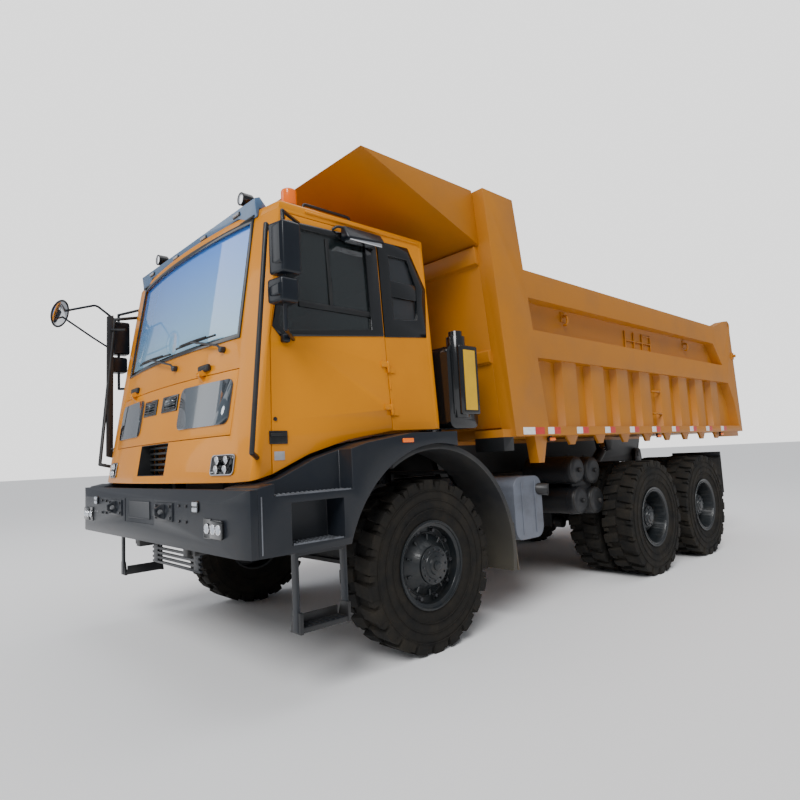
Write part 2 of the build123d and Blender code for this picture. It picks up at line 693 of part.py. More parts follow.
lid = (cab_outer - cab_form(lid_thickness, cab_base_z - 50)) & block(
    (bay_x + 20, cab_front_x + 50), (-lid_y, lid_y), lid_z)
save("front_lid", lid.fuse(*lid_hinges))

# gloss panels and vents on the lid, to one side of the middle
panel_table = [
    # near y, far y, low z, high z, corner radius, height above the lid
    (420, 1160, lid_z[0] + 80, lid_z[1] - 60, 60, 10),
    (110, 340, lid_z[1] - 200, lid_z[1] - 110, 30, 6),
]
panels = []
for near, far, low, high, radius, proud in panel_table:
    face_skin = cab_form(-proud) - cab_form(-seat_clearance)
    panels.extend(both_sides(face_skin & rounded_yz((near, far), (low, high), radius,
        (bay_x, cab_front_x + 50))))
save("lid_panels", *panels)

grille_y = mouth_y - 4
grille_x = cab_x + 1520
bars = []
for step in range(5):
    z = mouth_z[0] + 35 + step * 47
    bars.append(block((grille_x, grille_x + 30), (-grille_y, grille_y), (z, z + 20)))
posts = [block((grille_x - 20, grille_x), (y - 12, y + 12), mouth_z) for y in (-mouth_y + 60, 0,
    mouth_y - 60)]
save("grille", bars[0].fuse(*bars[1:], *posts))

lamp_y = (1030, 1305)
lamp_z = (1505, 1640)
housing_proud = 12
lens_proud = 20
lens_radius = 27
lamp_face = (cab_x + 1450, cab_front_x + 50)
lamp_skin = cab_form(-housing_proud) - cab_form(-seat_clearance)
lens_skin = cab_form(-lens_proud) - cab_form(-seat_clearance)
headlamp = lamp_skin & rounded_yz(lamp_y, lamp_z, 45, lamp_face)
for y in (lamp_y[0] + 85, lamp_y[1] - 85):
    for z in (lamp_z[0] + 36, lamp_z[1] - 36):
        headlamp = headlamp + (lens_skin & round_bar((lamp_face[0], y, z), (lamp_face[1], y, z),
            lens_radius))
save("headlamps", *both_sides(headlamp))

visor = slab_xz([
    (roof_front_x - 113, gutter_z), (roof_front_x - 53, gutter_z), (roof_front_x - 38, cab_roof_z + 70),
    (roof_front_x - 83, cab_roof_z + 90), (roof_front_x - 148, cab_roof_z + 15)], (-1190, 1190))
save("visor", visor - cab_form(-seat_clearance))

roof_lamps = []
lamp_row_x = roof_front_x - 193
lamp_stem = 90
for y in (-883, -600, -200, 200, 600, 883):
    base = Solid.make_cylinder(16, lamp_stem, Plane(origin=(lamp_row_x, y, cab_roof_z)))
    head_z = cab_roof_z + lamp_stem + 35
    roof_lamps.append(base + round_bar((lamp_row_x - 30, y, head_z), (lamp_row_x + 37, y, head_z), 52))
beacon_foot = Plane(origin=(lamp_row_x - 85, cab_half_roof - 130, cab_roof_z))
beacon = Solid.make_cylinder(65, 20, beacon_foot) + Solid.make_cylinder(52, 110, beacon_foot)
save("roof_lamps", *roof_lamps, beacon)

rail_y = cab_half_base + 80
rail_high_z = cab_roof_z - 310
rail_radius = 17
hand_rail = bent_bar([
    (cab_x + 1200, rail_y - 220, rail_high_z + 10), (cab_x + 1440, rail_y, rail_high_z),
    (cab_x + 1590, rail_y, 1640), (cab_x + 1470, rail_y - 130, 1600)], rail_radius)
save("grab_rails", *both_sides(hand_rail - cab_form(-seat_clearance)))

seats = []
seat_back_top = cab_floor_z + 0.675 * cab_room
for y in (-820, 820):
    base = block((cab_x + 250, cab_x + 650), (y - 180, y + 180), (cab_floor_z, cab_floor_z + 250))
    cushion = block((cab_x + 180, cab_x + 720), (y - 260, y + 260),
        (cab_floor_z + 250, cab_floor_z + 400))
    back = slab_xz([
        (cab_x + 180, cab_floor_z + 330), (cab_x + 320, cab_floor_z + 330), (cab_x + 190, seat_back_top),
        (cab_x + 80, seat_back_top)], (y - 250, y + 250))
    seats.append(base + cushion + back)
save("seats", *seats)

dash = slab_xz([
    (firewall_x, cab_floor_z + 120), (firewall_x, firewall_top_z), (firewall_x - 180, firewall_top_z),
    (firewall_x - 320, firewall_top_z - 120), (firewall_x - 320, cab_floor_z + 280),
    (firewall_x - 150, cab_floor_z + 120)], (-1380, 1380))
column_top = (firewall_x - 440, 820, firewall_top_z + 120)
column = round_bar((firewall_x - 300, 820, firewall_top_z - 170), column_top, 35)
wheel_radius = 225
grip = 16
ring = Solid.revolve(Face(Wire.make_polygon([
    (wheel_radius + grip, 0, 0), (wheel_radius, 0, grip), (wheel_radius - grip, 0, 0),
    (wheel_radius, 0, -grip)])),
    360, Axis.Z)
spokes = [Rot(0, 0, turn) * block((0, wheel_radius), (-20, 20), (-6, 6)) for turn in (90, 210, 330)]
hub = Solid.make_cylinder(60, 24, Plane(origin=(0, 0, -12)))
steering_wheel = Plane(origin=column_top, z_dir=(-0.75, 0, 0.66)).location * ring.fuse(hub, *spokes)
save("dashboard", dash + column + steering_wheel)

# Bumper, lamps, steps and fenders

bumper_z = (990, 1410)
bumper_x = nose_x - 80
bumper_wall = 14
bumper_back = cab_x + 1640


def bumper_form(inset):
    low, high = bumper_z[0] + inset, bumper_z[1] - inset
    face = bumper_x - inset
    plan = slab_xy([
        (bumper_back, -body_half + inset), (face - 60, -body_half + inset), (face, -body_half + 270),
        (face, body_half - 270), (face - 60, body_half - inset), (bumper_back, body_half - inset)],
        (low, high))
    section = slab_xz([
        (bumper_back, low), (face - 30, low), (face, low + 60), (face, high - 80), (face - 57, high),
        (bumper_back, high)], everywhere)
    return plan & section


bumper = bumper_form(0) - bumper_form(bumper_wall)
plate_recess = block((bumper_x - 6, bumper_x + 10), (-330, 330), (bumper_z[0] + 150, bumper_z[1] - 63))
bumper = bumper - plate_recess
# a towing eye each side, on a bolted pad
tow_eye_half = 20
tow_eye_radius = 20
tow_eye_y = 555
tow_eye = (nose_x - 40, bumper_z[0] + 260)
pads = []
for side in (1, -1):
    y = side * tow_eye_y
    eye_plate = slab_xz([
        (bumper_x - bumper_wall, tow_eye[1] - 65), (tow_eye[0], tow_eye[1] - 45),
        (nose_x, tow_eye[1] - 22),
        (nose_x, tow_eye[1] + 22), (tow_eye[0], tow_eye[1] + 45),
        (bumper_x - bumper_wall, tow_eye[1] + 65)],
        (y - tow_eye_half, y + tow_eye_half))
    pads.append(eye_plate - cross_bar(tow_eye[0], tow_eye[1], tow_eye_radius, (y - 100, y + 100)))
    pads.append(block((bumper_x - 5, bumper_x + 12), (y - 165, y + 165),
        (tow_eye[1] - 70, tow_eye[1] + 65)))
# slats of the guard hang below the stays that carry the bumper
guard_x = (cab_x + 1440, cab_x + 1460)
stays_z = (1060, 1250)
for side in (1, -1):
    y = sorted((side * rail_inner_y, side * rail_outer_y))
    pads.append(block((rail_front_x, bumper_x - bumper_wall), y, stays_z))
    pads.append(block(guard_x, y, (740, stays_z[0] + 20)))
for step in range(4):
    z = 740 + 40 * step
    pads.append(block(guard_x, (-500, 500), (z, z + 20)))
save("bumper", bumper.fuse(*pads))

lamp_table = [
    # y, half width, low z, high z
    (body_half - 327, 85, 1105, 1225),
    (1115, 45, 1262, 1338),
]
bumper_lamps = []
for y, half, low, high in lamp_table:
    lamp = rounded_yz((y - half, y + half), (low, high), 18, (bumper_x - 20, bumper_x + 12))
    bumper_lamps.extend(both_sides(lamp - bumper_form(-seat_clearance)))
save("bumper_lamps", *bumper_lamps)

arch_radius = 930
fender_y = (front_track_half - 184.5, body_half - 40)
fender_thickness = 45
fender_drop = 32
step_y = (1300, body_half)


def wheel_circle(radius, y):
    return cross_bar(front_axle_x, axle_z, radius, y)


fender = wheel_circle(arch_radius + fender_thickness, fender_y) - wheel_circle(arch_radius, (0, beyond))
fender_tail_z = 500
fender_top_z = axle_z + arch_radius + fender_thickness + 140
fender = fender & slab_xz([
    (front_axle_x - 1100, fender_tail_z), (front_axle_x - 700, fender_tail_z), (front_axle_x, axle_z),
    (front_axle_x + 480, axle_z + 790), (front_axle_x + 530, fender_top_z),
    (front_axle_x - 1100, fender_top_z)],
    fender_y)
for x, z in ((-640, axle_z + 700), (440, axle_z + 810)):
    x_range = (front_axle_x + x, front_axle_x + x + 40)
    fender = fender + block(x_range, (rail_inner_y, fender_y[0] + 10), (z, z + 35))
    fender = fender + block(x_range, (rail_inner_y, rail_outer_y), (rail_top_z, z + 35))
save("front_fenders", *both_sides(fender))

skirt_top = [(x, z - fender_drop) for x, z in reversed(underside)]
skirt = slab_xz([(bumper_back, bumper_z[0]), (bumper_back, cab_base_z - fender_drop)] + skirt_top + [
    (cab_x - 220, cab_rear_base_z - fender_drop), (cab_x - 220, 1500), (front_axle_x, axle_z),
    (cab_x + 870, bumper_z[0])], step_y)
skirt = skirt - wheel_circle(arch_radius + fender_thickness + seat_clearance, (0, beyond))
skirt = skirt - block((cab_x + 900, cab_x + 1520), (body_half - 150, beyond), (1360, 1800))
skirt = skirt - block((cab_x + 980, cab_x + 1400), (body_half - 210, beyond), (1040, 1310))
ladder_x = (cab_x + 950, cab_x + 1340)
ladder_y = (body_half - 110, body_half - 50)
ladder = [
    block(ladder_x, (body_half - 150, body_half - 30), (480, 510)),
    block(ladder_x, ladder_y, (960, bumper_z[0]))]
for x in ladder_x:
    ladder.append(block((x - 12, x + 12), ladder_y, (480, bumper_z[0])))
save("step_skirts", *both_sides(skirt.fuse(*ladder)))

# Muffler, tanks, air cleaner and tail lamps

muffler = rounded_xz((front_axle_x - 1520, front_axle_x - 1070), (730, 1320), 110, (900, 1650))
carrier = block((front_axle_x - 1350, front_axle_x - 1250), (rail_outer_y, 900), (1050, 1250))
tail_pipe = round_bar((front_axle_x - 1470, 1280, 1100), (front_axle_x - 1600, 1330, 1060), 62)
save("muffler", muffler + carrier + tail_pipe)

tank_radius = 155
tank_dome = 60
tank_ends = (820, 1500)
tank_places = [(-2490, 1320), (-2525, 980), (-2830, 1300), (-2870, 955)]
tanks = []
for x, z in tank_places:
    drum = cross_bar(front_axle_x + x, z, tank_radius, tank_ends)
    rims = [edge for edge in drum.edges() if edge.geom_type == GeomType.CIRCLE]
    tanks.append(drum.fillet(tank_dome, rims))
tank_frame = [block((front_axle_x - 2700, front_axle_x - 2660), (rail_outer_y, tank_ends[1] - 100),
    (1110, 1170))]
for y in (tank_ends[0] + 90, tank_ends[1] - 120):
    tank_frame.append(block((front_axle_x - 2880, front_axle_x - 2480), (y, y + 30), (930, 1345)))
save("air_tanks", tanks[0].fuse(*tanks[1:], *tank_frame))

fuel_tank = rounded_xz((front_axle_x - 2600, front_axle_x - 1100), (620, 1350), 70, (-1600, -850))
save("fuel_tank", fuel_tank + block(
    (front_axle_x - 1900, front_axle_x - 1800), (-850, -rail_outer_y), (1050, 1250)))

# the air cleaner stands behind the cab on a post from the frame
cleaner_x = (cab_rear_x - 430, cab_rear_x - 60)
cleaner_z = (1790, 2520)
column_x = cleaner_x[1] - 145
cleaner = rounded_xz(cleaner_x, cleaner_z, 70, (1150, 1600))
cleaner = cleaner + Solid.make_cylinder(85, 720, Plane(origin=(column_x, 1580, cleaner_z[0] + 90)))
cleaner = cleaner + Solid.make_cylinder(62, 110, Plane(origin=(column_x, 1580, cleaner_z[1] + 20)))
cleaner = cleaner + block((cleaner_x[0] + 120, cleaner_x[1] - 130), (rail_inner_y, 1250),
    (1700, cleaner_z[0] + 5))
cleaner = cleaner + block(
    (cleaner_x[0] + 120, cleaner_x[1] - 130), (rail_inner_y, rail_outer_y), (rail_top_z, cleaner_z[0]))
save("air_cleaner", cleaner)

bar = block((rail_rear_x - 10, rail_rear_x), (-1050, 1050), (1040, 1200))
rear_eye_radius = 25
rear_eye_half = 20
rear_eye = (rail_rear_x - 100, 1120)
rear_plate = slab_xz([
    (rail_rear_x - 10, rear_eye[1] - 80), (rear_eye[0], rear_eye[1] - 50),
    (rear_eye[0] - 45, rear_eye[1] - 25),
    (rear_eye[0] - 45, rear_eye[1] + 25), (rear_eye[0], rear_eye[1] + 50),
    (rail_rear_x - 10, rear_eye[1] + 80)],
    (-rear_eye_half, rear_eye_half))
rear_plate = rear_plate - cross_bar(rear_eye[0], rear_eye[1], rear_eye_radius, (-100, 100))
tail = [bar, rear_plate]
for side in (1, -1):
    for near, far in ((620, 740), (760, 880), (900, 1000)):
        span = sorted((side * near, side * far))
        tail.append(rounded_yz(span, (1060, 1180), 20, (rail_rear_x - 45, rail_rear_x - 5)))
save("tail_lamps", tail[0].fuse(*tail[1:]))

# Tipping body

wall_bottom = (front_axle_x - 1034, front_axle_x - 1594)
wall_top = (front_axle_x - 764, front_axle_x - 1220)
tail_top_x = tail_x + 140
front_thickness = 110
inner_y = body_side_y - side_plate


def at_height(low, high, z):
    # X of a leaning edge at height z, between the body's base and the top of its front post
    return low + (high - low) * (z - body_base_z) / (body_top_z - body_base_z)


def wall_front(z):
    return at_height(wall_bottom[0], wall_top[0], z)


def wall_rear(z):
    return at_height(wall_bottom[1], wall_top[1], z)


def tail_at(z):
    # X of the tail's edge at height z
    return tail_x + (tail_top_x - tail_x) * (z - body_base_z) / (wall_top_z - body_base_z)


post_front = [(wall_front(z), z) for z in (body_base_z, body_top_z)]
post_rear = [(wall_rear(z), z) for z in (body_base_z, body_top_z)]
rib_count = 8
rib_base = 165
rib_face = 140
first_rib = wall_bottom[1] - 520
last_rib = tail_x + 945
gusset_depth = 95


def body_side():
    shell = slab_xz([
        post_front[0], post_front[1], post_rear[1], (wall_rear(wall_top_z), wall_top_z),
        (tail_top_x, wall_top_z),
        (tail_x, body_base_z)], (inner_y, body_side_y))
    pieces = [slab_xz([post_front[0], post_front[1], post_rear[1], post_rear[0]],
        (body_side_y, body_half))]
    for low, high in (rail_band_z, top_rail_z):
        pieces.append(block((tail_top_x + 300, wall_rear(low) + 100), (body_side_y, body_half),
            (low, high)))
    bottom_rail = (body_base_z, body_base_z + 90)
    pieces.append(block((tail_x + 60, wall_bottom[1] + 50), (body_side_y, body_half), bottom_rail))
    for number in range(rib_count):
        x = first_rib + (last_rib - first_rib) * number / (rib_count - 1)
        pieces.append(slab_xy([
            (x - rib_base, body_side_y), (x + rib_base, body_side_y), (x + rib_face, rib_y),
            (x - rib_face, rib_y)],
            (body_base_z, rail_band_z[0] + 10)))
        # a gusset carries the overhanging side under each rib
        pieces.append(slab_xz([
            (x - 120, body_base_z + 5), (x + 120, body_base_z + 5), (x + 45, body_base_z - gusset_depth),
            (x - 45, body_base_z - gusset_depth)], (inner_y + 60, rib_y - 20)))
    pieces.append(slab_xz([
        (wall_bottom[1] + 200, body_base_z + 5), (wall_bottom[1] - 20, body_base_z + 5),
        (wall_bottom[1] + 60, body_base_z - 260), (wall_bottom[1] + 150, body_base_z - 260)],
        (inner_y, rib_y)))
    # the rear post widens towards the top, and a lug above it carries the tailgate
    knee_z = [body_base_z + share * wall_height for share in (0.291, 0.635, 0.842)]
    pieces.append(slab_xz([
        (tail_x + 960, wall_top_z), (tail_top_x, wall_top_z), (tail_x, body_base_z),
        (tail_x + 110, body_base_z),
        (tail_x + 254, knee_z[0]), (tail_x + 629, knee_z[1]), (tail_x + 959, knee_z[2])],
        (body_side_y, body_half)))
    pieces.append(slab_xz([
        (tail_x + 900, wall_top_z - 20), (tail_x + 390, wall_top_z + 140),
        (tail_x + 200, wall_top_z + 170),
        (tail_top_x - 20, wall_top_z + 120), (tail_top_x, wall_top_z - 20)], (body_side_y, body_half)))
    pieces.append(block((tail_x + 40, tail_x + 810), (body_side_y, body_half - 60),
        (body_base_z - 75, body_base_z + 5)))
    # the foot of the front wall reaches forward under the canopy
    pieces.append(block(
        (wall_bottom[0] - 20, wall_bottom[0] + 130), (inner_y - 230, body_half - 50),
        (body_base_z - 130, body_base_z + 70)))
    return shell.fuse(*pieces)


gate_pin = (tail_top_x + 60, wall_top_z + 90)
gate_pin_radius = 28
left_side = body_side() - cross_bar(gate_pin[0], gate_pin[1], gate_pin_radius + running_clearance,
    (0, beyond))
save("body_sides", *both_sides(left_side))

foot_cut_x = wall_bottom[0] - 20 - seat_clearance
floor_plate = slab_xz([
    (wall_front(body_base_z) - 30, body_base_z), (wall_front(floor_top_z) - 30, floor_top_z),
    (tail_x + 10, floor_top_z), (tail_x, body_base_z)], (-inner_y, inner_y))
sill_bottom_z = rail_top_z + 12
sill_y = (rail_inner_y + moving_clearance, rail_outer_y - moving_clearance)
undercarriage = []
for side in (1, -1):
    y = sorted((side * sill_y[0], side * sill_y[1]))
    undercarriage.append(slab_xz([
        (pivot_x, body_base_z), (front_axle_x - 1200, body_base_z), (front_axle_x - 1350, sill_bottom_z),
        (pivot_x, sill_bottom_z)], y))
    undercarriage.append(cross_bar(pivot_x, pivot_z, 100, y))
    undercarriage.append(slab_xz([
        (pivot_x - 95, pivot_z), (pivot_x + 95, pivot_z), (pivot_x + 150, body_base_z),
        (pivot_x - 200, body_base_z)], y))
    for offset in (-74, 74):
        middle = side * hoist_y + offset
        undercarriage.append(slab_xz([
            (hoist_eye[0] - 110, body_base_z), (hoist_eye[0] + 110, body_base_z),
            (hoist_eye[0] + 50, hoist_eye[1] - 50), (hoist_eye[0] - 50, hoist_eye[1] - 50)],
            (middle - 12, middle + 12)))
body_floor = floor_plate.fuse(*undercarriage)
body_floor = body_floor - cross_bar(pivot_x, pivot_z, pivot_pin_radius + running_clearance, everywhere)
for foot in both_sides(block(
        (foot_cut_x, wall_bottom[0] + 200), (inner_y - 230 - seat_clearance, beyond),
        (1000, floor_top_z + 100))):
    body_floor = body_floor - foot
save("body_floor", body_floor)

front_wall = slab_xz([
    (wall_front(floor_top_z), floor_top_z), post_front[1],
    (post_front[1][0] - front_thickness, body_top_z),
    (wall_front(floor_top_z) - front_thickness, floor_top_z)], (-inner_y, inner_y))
# raised bands across the wall's face, an upper one under the canopy and a lower one
for low, high in ((body_base_z + 700, body_base_z + 830), (body_top_z - 685, body_top_z - 500)):
    front_wall = front_wall + slab_xz([
        (wall_front(low), low), (wall_front(low) + 40, low + 15), (wall_front(high) + 40, high - 15),
        (wall_front(high), high), (wall_front(high) - 40, high), (wall_front(low) - 40, low)],
        (-inner_y, inner_y))
save("body_front_wall", front_wall)

canopy_tip = (cab_x + 580, body_top_z + 20)
canopy_root_z = body_top_z - 500
root_x = wall_front(canopy_root_z)
canopy_lip = 20
canopy = slab_xz([
    (root_x, canopy_root_z), canopy_tip, (canopy_tip[0] - 40, canopy_tip[1]),
    (wall_front(canopy_root_z + canopy_lip), canopy_root_z + canopy_lip)], (-body_side_y, body_side_y))
cheek = slab_xz([
    (root_x, canopy_root_z), canopy_tip, (wall_front(canopy_tip[1]), canopy_tip[1])],
    (body_side_y - canopy_lip, body_side_y))
save("canopy", canopy.fuse(*both_sides(cheek)))

# the tailgate hangs on pins above its plate and is ribbed on its outer face
gate_y = inner_y - moving_clearance
gate_z = (floor_top_z + 10, wall_top_z - 40)
gate_plate = 40
gate_rib = 65
gate_back = 10
gate_skin = gate_back + gate_rib


def gate_slab(near, far, z, y):
    return slab_xz([
        (tail_at(z[0]) + near, z[0]), (tail_at(z[1]) + near, z[1]), (tail_at(z[1]) + far, z[1]),
        (tail_at(z[0]) + far, z[0])], y)


gate_pieces = []
for z in ((gate_z[0], gate_z[0] + 120), (gate_z[1] - 120, gate_z[1])):
    gate_pieces.append(gate_slab(gate_back, gate_skin + 5, z, (-gate_y, gate_y)))
for number in range(7):
    y = (number - 3) * (gate_y - 60) / 3
    gate_pieces.append(gate_slab(gate_back, gate_skin + 5, gate_z, (y - 50, y + 50)))
for side in (1, -1):
    y = sorted((side * (gate_y - 60), side * gate_y))
    gate_pieces.append(slab_xz([
        (gate_pin[0] - 45, gate_pin[1] - 230), (gate_pin[0] + 45, gate_pin[1] - 230),
        (gate_pin[0] + 45, gate_pin[1] + 45), (gate_pin[0] - 45, gate_pin[1] + 45)], y))
    y = sorted((side * (gate_y - 60), side * (body_half - 10)))
    gate_pieces.append(cross_bar(gate_pin[0], gate_pin[1], gate_pin_radius, y))
gate = gate_slab(gate_skin, gate_skin + gate_plate, gate_z, (-gate_y, gate_y))
save("tailgate", gate.fuse(*gate_pieces))

# Hoist: two barrels hinged on the frame, their rods hinged under the body

hoist_angle = atan2(hoist_eye[1] - hoist_foot[1], hoist_eye[0] - hoist_foot[0])
hoist_length = hypot(hoist_eye[1] - hoist_foot[1], hoist_eye[0] - hoist_foot[0])


def along_hoist(distance):
    return (hoist_foot[0] + distance * cos(hoist_angle), hoist_foot[1] + distance * sin(hoist_angle))


def hoist_bar(start, end, radius):
    first, last = along_hoist(start), along_hoist(end)
    return round_bar((first[0], hoist_y, first[1]), (last[0], hoist_y, last[1]), radius)


barrel_end = hoist_length - 110
barrel = hoist_bar(60, barrel_end, hoist_barrel_radius) - hoist_bar(
    110, barrel_end + 10, hoist_rod_radius + running_clearance)
barrel = barrel + cross_bar(hoist_foot[0], hoist_foot[1], 70, (hoist_y - 55, hoist_y + 55))
barrel = barrel - cross_bar(hoist_foot[0], hoist_foot[1], hoist_pin_radius + running_clearance,
    (0, beyond))
save("hoist_barrels", *both_sides(barrel))
rod = hoist_bar(130, hoist_length - 40, hoist_rod_radius)
rod = rod + cross_bar(hoist_eye[0], hoist_eye[1], 62, (hoist_y - 48, hoist_y + 48))
rod = rod - cross_bar(hoist_eye[0], hoist_eye[1], hoist_pin_radius, (0, beyond))
save("hoist_rods", *both_sides(rod))
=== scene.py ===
import json
import math

import bpy
from mathutils import Matrix, Vector
from mathutils.bvhtree import BVHTree

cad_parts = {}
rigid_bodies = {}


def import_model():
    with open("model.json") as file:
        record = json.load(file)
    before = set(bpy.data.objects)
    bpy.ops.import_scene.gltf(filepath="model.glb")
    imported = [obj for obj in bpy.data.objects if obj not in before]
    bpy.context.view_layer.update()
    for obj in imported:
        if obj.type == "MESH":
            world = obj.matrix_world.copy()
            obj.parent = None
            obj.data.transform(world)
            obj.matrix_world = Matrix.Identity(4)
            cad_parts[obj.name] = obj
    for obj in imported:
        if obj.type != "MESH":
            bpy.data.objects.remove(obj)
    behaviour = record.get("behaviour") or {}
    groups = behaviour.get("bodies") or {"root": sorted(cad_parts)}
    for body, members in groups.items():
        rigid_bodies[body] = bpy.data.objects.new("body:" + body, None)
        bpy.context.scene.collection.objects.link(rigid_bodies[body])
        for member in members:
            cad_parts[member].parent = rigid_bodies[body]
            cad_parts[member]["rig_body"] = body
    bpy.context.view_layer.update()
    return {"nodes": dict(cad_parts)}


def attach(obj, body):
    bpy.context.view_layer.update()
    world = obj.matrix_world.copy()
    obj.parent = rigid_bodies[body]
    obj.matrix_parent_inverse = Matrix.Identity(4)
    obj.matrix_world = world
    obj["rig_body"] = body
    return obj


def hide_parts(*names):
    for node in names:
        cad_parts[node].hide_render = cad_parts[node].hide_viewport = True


# Mining dump truck: paint, rubber, glass and the small pieces, over the frame's own nodes.
# Metres. +X forward, +Y to the driver's left, +Z up, ground at Z = 0.

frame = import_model()
axleX, axleZ = 2.685, 0.685
print("frame loaded")

# Selecting and finishes


def clearSelection():
    if bpy.context.mode != "OBJECT":
        bpy.ops.object.mode_set(mode="OBJECT")
    bpy.ops.object.select_all(action="DESELECT")


def pickOnly(piece):
    clearSelection()
    piece.select_set(True)
    bpy.context.view_layer.objects.active = piece


def applyAll(piece):
    pickOnly(piece)
    for modifier in list(piece.modifiers):
        bpy.ops.object.modifier_apply(modifier=modifier.name)


def addNode(owner, kind, values={}, **settings):
    node = owner.node_tree.nodes.new("ShaderNode" + kind)
    for key, value in settings.items():
        setattr(node, key, value)
    for socket, value in values.items():
        node.inputs[socket].default_value = value
    return node


def wire(owner, *rows):
    # each row: a node, its output, the next node, its input
    for start, output, end, socket in rows:
        owner.node_tree.links.new(start.outputs[output], end.inputs[socket])


def makeFinish(name, color, dust, roughness, scale=3.0, amount=(0.45, 0.75), bump=0.0, grain=180.0, **sockets):
    # with dust, the colour drifts towards it in soft patches, and a fine grain may lie on the surface
    material = bpy.data.materials.new(name)
    material.use_nodes = True
    shader = material.node_tree.nodes["Principled BSDF"]
    shader.inputs["Roughness"].default_value = roughness
    for key, value in sockets.items():
        shader.inputs[key.replace("_", " ")].default_value = value
    if not dust:
        shader.inputs["Base Color"].default_value = (*color, 1)
        return material
    place = addNode(material, "TexCoord")
    patches = addNode(material, "TexNoise", {"Scale": scale, "Detail": 6.0, "Roughness": 0.6})
    ramp = addNode(material, "ValToRGB")
    for stop, position, tone in zip(ramp.color_ramp.elements, amount, (color, dust)):
        stop.position, stop.color = position, (*tone, 1)
    wire(material, (place, "Object", patches, "Vector"), (patches, "Fac", ramp, "Fac"),
         (ramp, "Color", shader, "Base Color"))
    if bump:
        fine = addNode(material, "TexNoise", {"Scale": grain, "Detail": 3.0})
        dents = addNode(material, "Bump", {"Strength": bump, "Distance": 0.002})
        wire(material, (place, "Object", fine, "Vector"), (fine, "Fac", dents, "Height"),
             (dents, "Normal", shader, "Normal"))
    return material


bodyCoat = ((0.43, 0.158, 0.010), (0.35, 0.140, 0.022), 0.46, dict(
    scale=1.6, bump=0.12, grain=60.0, Specular_IOR_Level=0.3, Coat_Weight=0.1, Coat_Roughness=0.3))
paneCoat = dict(Coat_Weight=1.0, Coat_Roughness=0.02)
